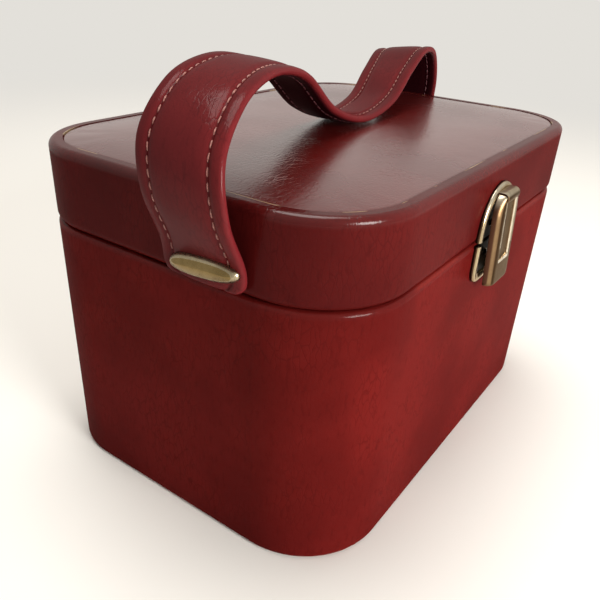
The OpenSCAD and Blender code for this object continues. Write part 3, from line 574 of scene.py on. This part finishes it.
def puff(piece, held, pressure, cap, frames=20):
    """Swell a leather or velvet skin from below; held points stay, and no point moves past cap."""
    group = piece.vertex_groups.new(name="held")
    group.add(list(held), 1.0, "REPLACE")
    cloth = piece.modifiers.new("swell", "CLOTH")
    for setting, value in (("quality", 6), ("mass", 0.2), ("tension_stiffness", 30.0),
                           ("compression_stiffness", 30.0), ("bending_stiffness", 2.0),
                           ("vertex_group_mass", "held"), ("use_pressure", True),
                           ("uniform_pressure_force", pressure)):
        setattr(cloth.settings, setting, value)
    cloth.settings.effector_weights.gravity = 0
    cloth.collision_settings.use_collision = False
    cloth.point_cache.frame_start, cloth.point_cache.frame_end = 1, frames
    for step in range(1, frames + 1):
        scene.frame_set(step)
    seen = piece.evaluated_get(bpy.context.evaluated_depsgraph_get())
    limit, most = cap * MM, 0.0
    for v, swollen in zip(piece.data.vertices, seen.data.vertices):
        shift = swollen.co - v.co
        shift *= limit * tanh(shift.length / limit) / max(shift.length, 1e-9)
        v.co += shift
        most = max(most, shift.length)
    piece.modifiers.clear()
    piece.vertex_groups.clear()
    piece.data.update()
    scene.frame_set(1)
    print(f"{piece.name}: swelled by up to {most / MM:.2f} mm")


print("outline helpers ready")

# %% Build the padded top
TOP_LOW = (-CASE_L / 2 + RIM_W + GROOVE_W, -CASE_W / 2 + RIM_W + GROOVE_W)
TOP_HIGH = (-TOP_LOW[0], -TOP_LOW[1])
TOP_R = [CORNER_R - RIM_W - GROOVE_W] * 4
top_rise = [(0, -1.1), (0.15, -0.6), (0.7, -0.3), (2, -0.05), (4, 0.18), (8, 0.48), (14, 0.72),
            (22, 0.92), (34, 1.02), (83, 1.1)]
top_insets = [0, 0.12, 0.3, 0.6, 1.0, 1.6, 2.4, 3.4, 4.6, 6, 8, 10.5, 13.5, 17, 21] + \
    [25 + 4.6 * i for i in range(13)]
top_rings = [rounded_ring(TOP_LOW, TOP_HIGH, TOP_R, s, RIM_Z + np.interp(s, *zip(*top_rise)),
                          corner_steps=14, side_steps=(44, 32)) for s in top_insets]
top_panel = make_piece("padded_top", *ringed_sheet(top_rings), top_leather, "lid", "burgundy_leather",
                       replaces=("lid_top_panel", "lid_pad"), sharp=80)
if top_panel.data.polygons[-1].normal.z < 0:
    top_panel.data.flip_normals()
puff(top_panel, range(5 * len(top_rings[0])), pressure=3.0, cap=0.45)
thick = top_panel.modifiers.new("leather", "SOLIDIFY")
thick.thickness, thick.offset = 1.0 * MM, -1
keep_modifiers(top_panel)
print("top reaches", round(max(v.co.z for v in top_panel.data.vertices) / MM, 2), "mm")

# %% [markdown]
# ## The strap
# The handle is one strap, slumped in two arches with its middle resting on the lid. It is an outer
# leather, rolled at its edges round a filler, and a thin plum lining, sewn through near both edges.
# A curve with a bevel would give a tube of one shape, but this strap narrows in the middle and
# tilts as it goes. So we sweep our own section along a smooth route through the points that the
# solid uses. Each point's place along and across the strap is kept in an attribute, which the
# leather's creases and rubbed edges then follow.

# %% Route of the strap
STRAP_END_W, STRAP_MID_W, STRAP_ARCH_W = 39.5, 27.0, 6.0
STRAP_T, STRAP_CORNER, STRAP_ROLL = 4.0, 6.0, -19.0
ATTACH_Y, BULGE, NEAR_RISE, FAR_RISE = 27.0, 9.0, 37.0, 27.0
SPAN = CASE_L / 2 + 0.1 + STRAP_T / 2
STRAP_Z = LID_Z + 1.3
TOUCH_Z = CROWN_Z + 1.0 + STRAP_T / 2
CLEAR_Z = STRAP_Z + 0.3392 * (RIM_Z - LID_Z)
ROUTE = np.array([(a * SPAN + b * BULGE, c * ATTACH_Y, z) for a, b, c, z in (
    (-1, 0, -1, STRAP_Z),
    (-1, -0.1, -1, CLEAR_Z),
    (-1, -1, -1, RIM_Z - 2),
    (-1, -0.82, -0.92, RIM_Z + 0.46 * NEAR_RISE),
    (-0.94, 0, -0.79, RIM_Z + 0.85 * NEAR_RISE),
    (-0.78, 0, -0.60, RIM_Z + NEAR_RISE),
    (-0.60, 0, -0.38, RIM_Z + 0.98 * NEAR_RISE),
    (-0.42, 0, -0.22, RIM_Z + 0.81 * NEAR_RISE),
    (-0.22, 0, -0.15, RIM_Z + 0.35 * NEAR_RISE),
    (0.02, 0, -0.10, TOUCH_Z),
    (0.29, 0, 0.07, RIM_Z + 0.29 * FAR_RISE),
    (0.52, 0, 0.33, RIM_Z + 0.72 * FAR_RISE),
    (0.73, 0, 0.59, RIM_Z + FAR_RISE),
    (0.91, 0, 0.82, RIM_Z + 0.87 * FAR_RISE),
    (1, 0.15, 0.95, RIM_Z + 0.18 * FAR_RISE),
    (1, 0.03, 1, CLEAR_Z),
    (1, 0, 1, STRAP_Z))])
ROUTE = np.vstack([2 * ROUTE[0] - ROUTE[1], ROUTE, 2 * ROUTE[-1] - ROUTE[-2]])
STEPS = len(ROUTE) - 3


def on_route(u):
    """The middle of the strap's thickness at u, from 0 at the near end to 1 at the far end."""
    s = min(max(u, 0.0), 1.0) * STEPS
    i = min(int(s), STEPS - 1)
    t = s - i
    a, b, c, d = ROUTE[i:i + 4]
    return 0.5 * (2 * b + (c - a) * t + (2 * a - 5 * b + 4 * c - d) * t * t
                  + (3 * b - a - 3 * c + d) * t ** 3)


def strap_frame(u):
    """Middle, direction across, direction out of the outer face, and half width at u."""
    v = 2 * u - 1
    middle = on_route(u)
    along = on_route(min(1, u + 0.002)) - on_route(max(0, u - 0.002))
    along /= np.linalg.norm(along)
    roll = radians(STRAP_ROLL * v * (1 - v * v))
    across = np.array([0, cos(roll), sin(roll)])
    out = np.cross(along, across)
    out /= np.linalg.norm(out)
    width = STRAP_MID_W * (1 - v * v) + STRAP_END_W * v * v + STRAP_ARCH_W * 4 * v * v * (1 - v * v)
    shear = 1 / sqrt(1 - float(along @ across) ** 2)
    return middle, across * shear, out, width / 2


fine_u = np.linspace(0, 1, 2001)
fine_p = np.array([on_route(u) for u in fine_u])
run_mm = np.concatenate([[0], np.cumsum(np.linalg.norm(np.diff(fine_p, axis=0), axis=1))])
STRAP_RUN = float(run_mm[-1])
print("strap is", round(STRAP_RUN, 1), "mm long")


def at_run(distance):
    return float(np.interp(distance, run_mm, fine_u))


# %% Sweep the strap's leathers
STITCH_IN, EDGE_R = 6.0, 1.5


def leather_section(half):
    """Half of the rolled outer leather, closed along its middle, as (across, out, rubbed)."""
    row = half - STITCH_IN
    shape = [(0, 2.35, 0), (0.35 * row, 2.33, 0), (0.62 * row, 2.24, 0), (0.82 * row, 2.06, 0),
             (row - 1.4, 1.85, 0), (row - 0.55, 1.5, 0), (row - 0.1, 1.15, 0), (row + 0.25, 1.15, 0),
             (row + 0.7, 1.5, 0), (row + 1.4, 1.84, 0), (row + 2.3, 1.95, 0), (row + 3.3, 1.9, 0.05)]
    for t in turns(80, -88, 8):
        shape.append((half - EDGE_R + EDGE_R * cos(t), 0.2 + 1.6 * sin(t),
                      0.1 + 0.8 * max(0.0, cos(t)) ** 2))
    return shape + [(half - EDGE_R - 0.1, -1.1, 0.2), (0, -1.1, 0)]


def lining_section(half):
    row = half - STITCH_IN
    reach = half - 1.3
    return [(0, -2.0, 0), (0.6 * row, -1.98, 0), (row - 1.0, -1.88, 0), (row, -1.55, 0),
            (row + 1.0, -1.8, 0.05), (reach - 0.9, -1.75, 0.2), (reach - 0.1, -1.55, 0.4),
            (reach, -1.3, 0.4), (reach - 0.4, -1.05, 0.2), (0, -1.05, 0)]


def ends_in(distance):
    """How far the strap's rounded corners cut in, and how thin it is, this far from an end."""
    near = min(distance, STRAP_RUN - distance)
    cut = 0.0
    if near < STRAP_CORNER:
        cut = STRAP_CORNER - sqrt(max(0.0, 2 * STRAP_CORNER * near - near * near))
    thin = sqrt(max(0.02, 1 - (1 - min(near, EDGE_R) / EDGE_R) ** 2))
    return 0.92 * cut, thin


def sweep_strap(name, section, finish, slot, replaces):
    near_end = [0.0, 0.05, 0.2, 0.5, 0.9, 1.4, 2.0, 2.8, 3.8, 5.0, 6.4]
    middle = list(np.linspace(8.2, STRAP_RUN - 8.2, 210))
    distances = near_end + middle + [STRAP_RUN - d for d in near_end[::-1]]
    rings, marks = [], []
    for distance in distances:
        middle_point, across, out, half = strap_frame(at_run(distance))
        cut, thin = ends_in(distance)
        side = section(half - cut)
        ring = side[::-1] + [(-a, b, e) for a, b, e in side[1:]]
        rings.append([middle_point + a * across + b * thin * out for a, b, _ in ring])
        marks += [(distance * MM, a * MM, b * MM, e) for a, b, e in ring]
    piece = make_piece(name, *skin(rings), finish, "lid", slot, replaces, sharp=60)
    run = piece.data.attributes.new("run", "FLOAT_VECTOR", "POINT")
    run.data.foreach_set("vector", [x for m in marks for x in m[:3]])
    rubbed = piece.data.attributes.new("rubbed", "FLOAT", "POINT")
    rubbed.data.foreach_set("value", [m[3] for m in marks])
    return piece


sweep_strap("strap_outer_leather", leather_section, strap_leather, "burgundy_leather",
            ("strap_outer", "strap_core"))
sweep_strap("strap_plum_lining", lining_section, under_leather, "plum_leather", ("strap_lining",))

# %% [markdown]
# ## Stitches
# Each row is sewn with one thread at about six stitches to the inch, 4.3 mm apart. A stitch is a
# short thread that dives into the leather at both ends, so it is drawn as a small bowed capsule in
# the groove. All the stitches of one side are one mesh, because they never move apart.

# %% Sew the strap
STITCH_PITCH, STITCH_L, STITCH_R, STITCH_START = 4.3, 3.0, 0.36, 10.5


def one_stitch(middle, along, across, out, length, radius):
    """A bowed capsule of five rings."""
    rings = []
    for share, size in ((-0.5, 0.35), (-0.38, 0.85), (0.0, 1.0), (0.38, 0.85), (0.5, 0.35)):
        sink = 0.55 * (2 * share) ** 2 * radius
        centre = middle + along * share * length - out * sink
        rings.append([centre + size * radius * (cos(t) * across + sin(t) * out)
                      for t in circle(6)])
    return skin(rings)


def sew(name, face_height, finish):
    """Both rows of stitches on one side of the strap, as one mesh."""
    parts = []
    random.seed(7)
    count = int((STRAP_RUN - 2 * STITCH_START) / STITCH_PITCH)
    for side in (-1, 1):
        for k in range(count + 1):
            distance = STITCH_START + k * STITCH_PITCH + random.uniform(-0.15, 0.15)
            middle, across, out, half = strap_frame(at_run(distance))
            along = on_route(at_run(distance + 1)) - on_route(at_run(distance - 1))
            along /= np.linalg.norm(along)
            place = middle + across * side * (half - STITCH_IN) + out * face_height
            slant = along + across * side * random.uniform(-0.04, 0.08)
            slant /= np.linalg.norm(slant)
            parts.append(one_stitch(place, slant, np.cross(out, slant), out,
                                    STITCH_L + random.uniform(-0.2, 0.2), STITCH_R))
    make_piece(name, *join_parts(parts), finish, "lid", sharp=80)


sew("strap_outer_stitches", 1.32, thread)
sew("strap_under_stitches", -1.72, under_thread)

# %% [markdown]
# ## The end caps
# Each end of the strap is pressed under a long oval cap of brushed nickel. The stamping has a steep
# band all round, a fine raised rim and then a shallow dome, which is drawn in a darker gold than
# the band. It leans 4.7 degrees, with its front end higher.

# %% Build the two caps
CAP_L, CAP_H, CAP_Z, CAP_TILT, CAP_SHIFT = 33.4, 9.0, 133.9, 4.7, 2.6
CAP_SEAT = 0.1 + STRAP_T + 0.6
CAP_BLUNT, CAP_FACE_IN = 0.85, 1.5


def cap_place(point, end):
    """A point (along, out, up) of a cap, carried to the near (-1) or far (1) end of the case."""
    along, out, up = point
    lean = radians(CAP_TILT)
    a = along * cos(lean) - up * sin(lean)
    b = up * cos(lean) + along * sin(lean)
    return (end * (CASE_L / 2 + CAP_SEAT - 0.1 + out), end * (ATTACH_Y + CAP_SHIFT + a), CAP_Z + b)


def blunt(value):
    return copysign(abs(value) ** CAP_BLUNT, value)


def oval(inset, out, steps=72):
    """A long oval with blunt ends, shrunk by an inset; its ends draw in a little faster."""
    half_l, half_h = CAP_L / 2 - 1.2 * inset, CAP_H / 2 - inset
    return [(half_l * blunt(cos(t)), out, half_h * blunt(sin(t)))
            for t in (2 * pi * (i + 0.5) / steps for i in range(steps))]


cap_steps = [(0, -0.9), (0, 0.2), (0, 0.5), (0.1, 0.9), (0.45, 1.6), (0.9, 2.2), (1.25, 2.56),
             (1.42, 2.68), (CAP_FACE_IN, 2.7), (1.6, 2.67), (1.9, 2.8), (2.4, 3.05), (3.0, 3.28),
             (3.6, 3.45), (4.1, 3.55), (4.3, 3.58)]
for end, label in ((-1, "near"), (1, "far")):
    rings = [[cap_place(p, end) for p in oval(inset, out)] for inset, out in cap_steps]
    cap = make_piece(f"end_cap_{label}", *skin(rings), cap_nickel, "lid", "nickel",
                     replaces=(f"handle_cap_{label}",), sharp=30)
    cap.data.materials.append(gold_cap_faces_and_ridge_reflection)
    band_rings = sum(inset <= CAP_FACE_IN for inset, _ in cap_steps)
    for face in cap.data.polygons:
        low = min(face.vertices) // len(rings[0])
        face.material_index = int(low >= band_rings or len(face.vertices) > 4 and low > 0)

# %% [markdown]
# ## The clasp
# The clasp has three stampings. The lid plate is an arch, the body plate has round lower corners,
# and both have a rolled bead round their edge. The lever hangs on a pin through the lid plate's
# lug, which fills a notch in the lever's top, and the pin's domed ends stop inside its round
# shoulders. Its sides are rolled over, and a wide shallow channel runs down between two crisp
# ridges to a raised lip above the square thumb end.

# %% Build the clasp's plates
PLATE_W, PLATE_Y, SHEET_T, BEAD_H = 40.0, -CASE_W / 2 - 0.1, 0.8, 1.5
LID_PLATE_Z0, ARCH_Z, ARCH_R = 125.7, 129.9, 20.0
BODY_PLATE_Z0, BODY_PLATE_Z1, PLATE_CORNER = 104.2, 123.8, 8.0
PIN_Y, PIN_Z, PIN_R, PIN_REACH = -CASE_W / 2 - 4.6, 144.3, 1.0, 8.4
LUG_W, LUG_R = 15.0, 2.8


def arch_outline(inset, steps=36):
    """The lid plate from its lower right corner, up over the arch and down to its lower left."""
    r = ARCH_R - inset
    arc = [(r * cos(t), ARCH_Z + r * sin(t)) for t in turns(0, 180, steps)]
    return [(r, LID_PLATE_Z0)] + arc + [(-r, LID_PLATE_Z0)]


def cup_outline(inset, steps=10):
    """The body plate from its upper left corner, down round and up to its upper right."""
    half, r = PLATE_W / 2 - inset, PLATE_CORNER - inset
    low = BODY_PLATE_Z0 + inset
    corners = [(side * (half - r) + r * cos(t), low + r + r * sin(t))
               for side, start in ((-1, 180), (1, 270)) for t in turns(start, start + 90, steps)]
    return [(-half, BODY_PLATE_Z1)] + corners + [(half, BODY_PLATE_Z1)]


def stamped_plate(outline, r):
    """A thin sheet with a rounded front edge, and a rolled bead of half width r along its outline."""
    sheet = skin([[(x, PLATE_Y - out, z) for x, z in outline(inset)]
                  for inset, out in ((0, 0), (0, 0.7), (0.15, 0.85), (1.6, 0.9))])
    line, bead = outline(r), []
    for i, (x, z) in enumerate(line):
        side = beside(line, i)
        bead.append([(x + side[0] * r * cos(t), PLATE_Y - SHEET_T - BEAD_H * sin(t),
                      z + side[1] * r * cos(t)) for t in circle(16)])
    return join_parts([sheet, skin(bead)]), len(sheet[1])


def along_pin(half, ends, r, angles):
    """Rings along x round the pin's axis; ends lists (how far in, share of the radius)."""
    places = [(-half + d, size) for d, size in ends] + [(half - d, size) for d, size in ends[::-1]]
    return [[(x, PIN_Y - r * size * cos(t), PIN_Z + r * size * sin(t)) for t in angles]
            for x, size in places]


for name, outline, bead_half, body, solid in (
        ("clasp_lid_stamping", arch_outline, 2.1, "lid", "clasp_lid_plate"),
        ("clasp_body_stamping", cup_outline, 2.3, "case_body", "clasp_body_plate")):
    (points, faces), sheet_faces = stamped_plate(outline, bead_half)
    # The beads' colour by facing is a painted reflection.
    plate = make_piece(name, points, faces, bead_nickel_painted_reflection, body, "nickel", replaces=(solid,), sharp=40)
    # The flat sheet inside each bead is near black, a painted shadow.
    plate.data.materials.append(painted_shadow_sheet_nickel)
    for face in plate.data.polygons[:sheet_faces]:
        face.material_index = 1

lug_rings = [[(ring[0][0], PLATE_Y - 0.6, ring[-1][2]), (ring[0][0], PLATE_Y - 0.6, ring[0][2])] + ring
             for ring in along_pin(LUG_W / 2, ((0, 0.86), (0.25, 0.97), (0.7, 1)), LUG_R,
                                   turns(-90, 90, 14))]
# The lug takes the lever's nickel with its painted reflection.
make_piece("clasp_lug", *skin(lug_rings), lever_nickel_painted_reflection, "lid", "nickel", sharp=35)
pin_rings = along_pin(PIN_REACH, ((0, 0.5), (0.2, 0.85), (0.5, 1)), PIN_R, circle(12))
make_piece("clasp_pin_domed", *skin(pin_rings), nickel, "lid", "nickel", replaces=("clasp_pin",),
           sharp=50)

# %% Build the lever
LEVER_W, LEVER_L, LEVER_BACK, LEVER_FACE, LEVER_TOP = 26.0, 41.6, -1.9, 2.1, 2.1
CHANNEL_W, CHANNEL_L, CHANNEL_D = 12.0, 29.4, 0.9
SHOULDER, FOOT, SHELL_T, LEVER_LEAN = (7.5, 12.0), (2.5, 2.5), 1.2, 2.8
FLANK_W, RIDGE_W, LIP_OUT, LIP_UP = 5.2, 1.1, 1.5, 0.75
RIDGE_X, RIDGE_UP = (6.2, 8.0), (-24, -1)


def lever_place(x, out, up):
    """A point of the lever, measured from its pin, carried to where the leaning lever hangs."""
    lean = radians(LEVER_LEAN)
    return (x, PIN_Y - out * cos(lean) + up * sin(lean),
            PIN_Z + out * sin(lean) + up * cos(lean))


def rounding(near, reach):
    """How far a quarter ellipse has fallen at this distance from an end, as a share of its height."""
    return 1 - sqrt(max(0.0, 1 - (1 - min(near, reach) / reach) ** 2))


def lever_half(up):
    """Half width of the lever at a height along it."""
    return (LEVER_W / 2 - SHOULDER[0] * rounding(LEVER_TOP - up, SHOULDER[1])
            - FOOT[0] * rounding(up + LEVER_L, FOOT[1]))


def lever_face(up):
    """How far out the face stands: it rolls back over the pin, and a little at the foot."""
    return LEVER_FACE - 1.6 * rounding(LEVER_TOP - up, 2.6) - 0.5 * rounding(up + LEVER_L, 1.2)


def lever_ring(up):
    """The lever's section, clockwise from the middle of its face: ridge, rolled flank, hollow."""
    half, face = lever_half(up), lever_face(up)
    back = min(LEVER_BACK, face - 1.6)
    channel = min(CHANNEL_W / 2, half - 3.0)
    depth = CHANNEL_D if up > -CHANNEL_L else 0.0
    flank = min(FLANK_W, half - channel - RIDGE_W)
    side = [(channel * 0.5, face - depth), (channel - 0.45, face - depth),
            (channel - 0.15, face - 0.7 * depth), (channel + 0.05, face - 0.12 * depth),
            (channel + 0.35, face), (half - flank, face)]
    drop = face - back
    side += [(half - flank + flank * sin(t), face - drop * (1 - cos(t))) for t in turns(9, 90, 9)]
    side += [(half - SHELL_T, back), (half - SHELL_T - 0.25 * flank, back + 0.62 * drop - 0.3),
             (half - flank - 0.4, face - SHELL_T - 0.3), (channel * 0.5, face - CHANNEL_D - 1.0)]
    return [lever_place(x, y, up) for x, y in side + [(-x, y) for x, y in side[::-1]]]


lever_ups = [LEVER_TOP - d for d in (0.03, 0.15, 0.4, 0.8, 1.4, 2.1, 2.9, 3.8, 4.8, 5.8, 7.0)] + \
    [-6.5 - 1.9 * i for i in range(12)] + [-29.3, -29.5, -31, -33, -35.5, -38, -39.1, -39.7, -40.2,
                                           -40.7, -41.1, -41.4, -41.58]
lip_rings = [[lever_place(x, LEVER_FACE - 0.8 + size * LIP_OUT * sin(t),
                          -CHANNEL_L - 0.2 + size * LIP_UP * cos(t)) for t in circle(15)]
             for x, size in ((-CHANNEL_W / 2 - 0.3, 0.45), (-CHANNEL_W / 2 + 0.3, 1),
                             (CHANNEL_W / 2 - 0.3, 1), (CHANNEL_W / 2 + 0.3, 0.45))]
lever_parts = join_parts([skin([lever_ring(up) for up in lever_ups]), skin(lip_rings)])
lever = make_piece("clasp_lever_stamping", *lever_parts, lever_nickel_painted_reflection, "lever", "nickel",
                   replaces=("clasp_lever",), sharp=32)

cutter_mesh = bpy.data.meshes.new("notch")
cutter = bpy.data.objects.new("notch", cutter_mesh)
scene.collection.objects.link(cutter)
notch = bmesh.new()
bmesh.ops.create_cube(notch, size=1.0)
low, high = (-LUG_W / 2 - 0.08, -8, -2.4), (LUG_W / 2 + 0.08, 8, 8)
for v in notch.verts:
    v.co = Vector(lever_place(*[(l + h) / 2 + (h - l) * c for l, h, c in zip(low, high, v.co)])) * MM
notch.to_mesh(cutter_mesh)
notch.free()
cut = lever.modifiers.new("notch", "BOOLEAN")
cut.operation, cut.object, cut.solver = "DIFFERENCE", cutter, "EXACT"
keep_modifiers(lever)
lever.data.set_sharp_from_angle(angle=radians(32))
# The channel walls and lip that face aside or up get bright nickel, a painted highlight.
lever.data.materials.append(painted_highlight_nickel)
# The front faces of the ridges get the darker gold, a painted reflection stripe.
lever.data.materials.append(gold_cap_faces_and_ridge_reflection)
for face in lever.data.polygons:
    x, _, z = face.center / MM
    x, up = abs(x), z - PIN_Z
    on_wall = abs(x - CHANNEL_W / 2) < 0.3 and up > -CHANNEL_L - 0.5
    on_lip = x < CHANNEL_W / 2 + 0.4 and abs(up + CHANNEL_L + 0.3) < 0.9
    on_ridge = (RIDGE_X[0] < x < RIDGE_X[1] and RIDGE_UP[0] < up < RIDGE_UP[1]
                and face.normal.y < -0.9)
    face.material_index = 2 if on_ridge else int(face.normal.y < 0.1 and (on_wall or on_lip))
bpy.data.objects.remove(cutter)
print("lever notch cut:", len(lever.data.polygons), "faces")

# %% [markdown]
# ## The soft inside
# Loose jewellery lies on cushions of velvet over foam, and rings stand between soft velvet rolls.
# Like the lid's top, a cushion is swelled by a short simulation that keeps its edges still, so it
# is tight in the middle and pinched where it is glued. A roll is drawn with its wrinkles.

# %% Build the cushions


def cushion(name, low, high, radii, z, height, rise, solid, body="tray"):
    """A pad whose sides bulge, whose top swells, and whose bottom is flat."""
    reach = min(high[0] - low[0], high[1] - low[1]) / 2
    levels = [(0.35, 0), (0.05, 0.25 * height), (0, 0.5 * height), (0.1, 0.75 * height),
              (0.5, 0.92 * height)]
    for s in [1.2, 2.2, 3.6, 5.5] + list(np.linspace(8, reach - 1.5, 8)):
        levels.append((s, height + 0.6 * rise * (1 - (1 - min(s, 14) / 14) ** 2)))
    rings = [rounded_ring(low, high, radii, s, z + up, 6, (30, 30)) for s, up in levels]
    points, faces = ringed_sheet(rings)
    faces.append(tuple(range(len(rings[0])))[::-1])
    piece = make_piece(name, points, faces, velvet, body, "velvet", replaces=(solid,), sharp=70)
    puff(piece, range(3 * len(rings[0])), pressure=4.0, cap=0.4 * rise + 0.2, frames=12)


FLOOR_X, FLOOR_Y, FLOOR_R, FLOOR_Z, FLOOR_PAD_T = 119.5, 82, 34.3, 6.5, 4.6
TRAY_X, TRAY_Y, TRAY_R, DIVIDER_R, TRAY_Z, TRAY_PAD_T, PAD_GAP = 116, 78.5, 29.2, 2, 90.05, 1.6, 0.3
cushion("floor_cushion", (-FLOOR_X, -FLOOR_Y), (FLOOR_X, FLOOR_Y), [FLOOR_R] * 4, FLOOR_Z,
        FLOOR_PAD_T, 1.2, "floor_pad", "case_body")
NEAR_WALL, FAR_WALL, WALL_T2 = -35, 45, 1
for label, x0, x1, y0, y1 in (
        ("ring", -TRAY_X, NEAR_WALL - WALL_T2, -TRAY_Y, TRAY_Y),
        ("back", NEAR_WALL + WALL_T2, TRAY_X, WALL_T2, TRAY_Y),
        ("front", NEAR_WALL + WALL_T2, FAR_WALL - WALL_T2, -TRAY_Y, -WALL_T2),
        ("small", FAR_WALL + WALL_T2, TRAY_X, -TRAY_Y, -WALL_T2)):
    radii = [TRAY_R if abs(x) == TRAY_X and abs(y) == TRAY_Y else DIVIDER_R
             for x, y in ((x1, y1), (x0, y1), (x0, y0), (x1, y0))]
    cushion(f"{label}_bay_pad", (x0 + PAD_GAP, y0 + PAD_GAP), (x1 - PAD_GAP, y1 - PAD_GAP), radii,
            TRAY_Z, TRAY_PAD_T, 0.6, "tray_lining")

# %% Build the ring rolls
ROLL_X, ROLL_R, ROLL_HALF, ROLL_Z = (-43.6, -57.6, -71.6, -85.6), 6.8, 64.9, 99.1


def ring_roll(name, x, half, seed):
    """A velvet roll with gathered ends and slack wrinkles."""
    random.seed(seed)
    phases = [random.uniform(0, 6.28) for _ in range(6)]
    ends = ((0, 0.12), (0.2, 0.42), (0.7, 0.68), (1.6, 0.86), (3, 0.96), (5, 1))
    places = [(-half + d, s) for d, s in ends] + \
        [(y, 1.0) for y in np.linspace(-half + 7, half - 7, 46)] + \
        [(half - d, s) for d, s in ends[::-1]]
    rings = []
    for y, size in places:
        ring = []
        for turn in circle(28):
            soft = 1 - 0.018 * (1 + sin(0.21 * y + phases[0] + 2 * turn)) \
                - 0.012 * (1 + sin(0.5 * y + phases[1] + 3 * turn))
            pleat = 1 - 0.05 * (1 - size) * (1 + sin(9 * turn + phases[2]))
            r = (ROLL_R - 0.1) * size * soft * pleat
            ring.append((x + r * cos(turn), y, ROLL_Z + r * sin(turn)))
        rings.append(ring)
    roll = make_piece(name, *skin(rings), velvet, "tray", "velvet", replaces=("ring_rolls",), sharp=75)


for k, x in enumerate(ROLL_X):
    ring_roll(f"ring_roll_{k + 1}", x, ROLL_HALF, 20 + k)

# %% [markdown]
# ## The tray's ribbon pulls
# Two satin ribbons lift the tray. Each is glued down inside the tray's end wall, rises past the
# wall's top and folds over in a flat loop. Ribbon has an edge and a slight cup, so it is a thin
# swept strip and not a plane.

# %% Build the ribbon pulls
RIBBON_W, RIBBON_HALF_T = 11.6, 0.16
for end, label in ((-1, "near"), (1, "far")):
    low, high = [[c / MM for c in corner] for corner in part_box("tray_ribbons")]
    foot, top = low[2] + 0.2, high[2] - 0.4
    x0 = end * ((high[0] - low[0]) / 2 - 0.75)
    line = [(x0, foot), (x0, foot + 6), (x0, top - 8), (x0 - end * 0.15, top - 3),
            (x0 - end * 0.2, top - 1)]
    line += [(x0 - end * (0.9 - 0.7 * cos(t)), top - 1 + sin(t)) for t in turns(0, 180, 6)]
    line += [(x0 - end * 1.5, top - 4), (x0 - end * 1.35, top - 9)]
    rings = []
    for i, (x, z) in enumerate(line):
        dx, dz = [RIBBON_HALF_T * c for c in beside(line, i)]
        across = [RIBBON_W * (k / 8 - 0.5) for k in range(9)]
        rings.append([(x + dx, y, z + dz) for y in across] + [(x - dx, -y, z - dz) for y in across])
    ribbon = make_piece(f"ribbon_pull_{label}", *skin(rings), satin, "tray", "ribbon",
                        replaces=("tray_ribbons",), sharp=50)

# %% [markdown]
# ## Light, floor and backdrop
# The case stands on a pale table, with a large soft lamp above and a smaller one low in front. The
# room that lights it is uneven, bright beyond the case and dim behind the camera. The camera does
# not see that room but a plain pale backdrop, and so do reflections. Far from the case the table
# fades into the same colour, so that no horizon shows.

# %% Light the case
BACKDROP = "#e3e0da"
ROOM_BRIGHT_SIDE = Vector((0.80, 0.52, 0.30)).normalized()
FADE_FROM, FADE_TO = 0.35, 1.3


def seen_rays(tree):
    """1 for rays from the camera, in a reflection or through glass, and 0 for rays that only light."""
    ray = add(tree, "LightPath").outputs
    mirrored = maths(tree, "MAXIMUM", ray["Is Camera Ray"], ray["Is Glossy Ray"])
    return maths(tree, "MAXIMUM", mirrored, ray["Is Transmission Ray"])


world = bpy.data.worlds.new("room")
scene.world = world
world.use_nodes = True
tree = world.node_tree
tree.nodes.clear()
beyond = add(tree, "VectorMath", {0: add(tree, "TexCoord").outputs["Generated"], 1: ROOM_BRIGHT_SIDE},
             operation="DOT_PRODUCT").outputs["Value"]
room = add(tree, "Background", {"Color": linear("#f4efe8"),
                                "Strength": ramp(tree, beyond, -0.4, 0.9, 0.07, 1.0)})
backdrop = add(tree, "Background", {"Color": linear(BACKDROP), "Strength": 1.0})
feed(tree, add(tree, "OutputWorld"), Surface=mixed(tree, seen_rays(tree), room, backdrop))


def soft_lamp(name, place, size, watts, target=(0, 0, 0.08)):
    data = bpy.data.lights.new(name, "AREA")
    data.shape, data.size, data.energy = "DISK", size, watts
    data.color = (1.0, 0.97, 0.93)
    lamp = bpy.data.objects.new(name, data)
    scene.collection.objects.link(lamp)
    lamp.location = place
    lamp.rotation_euler = (Vector(target) - Vector(place)).to_track_quat("-Z", "Y").to_euler()


soft_lamp("key", (-0.3, -1.4, 0.5), 0.7, 29)
soft_lamp("top", (0.1, 0.3, 1.9), 1.2, 24)

paper, tree, shader = new_finish("pale_table", Roughness=0.85, Specular_IOR_Level=0.2)
shader.inputs["Base Color"].default_value = linear("#efede8")
away = add(tree, "VectorMath", {0: add(tree, "NewGeometry").outputs["Position"]},
           operation="LENGTH").outputs["Value"]
fade = maths(tree, "MULTIPLY", ramp(tree, away, FADE_FROM, FADE_TO), seen_rays(tree))
far_table = add(tree, "Emission", {"Color": linear(BACKDROP)})
feed(tree, tree.nodes["Material Output"], Surface=mixed(tree, fade, shader, far_table))
bpy.ops.mesh.primitive_plane_add(size=80, location=(0, 0, 0))
table_top = bpy.context.object
table_top.name = "table_top"
table_top.data.materials.append(paper)
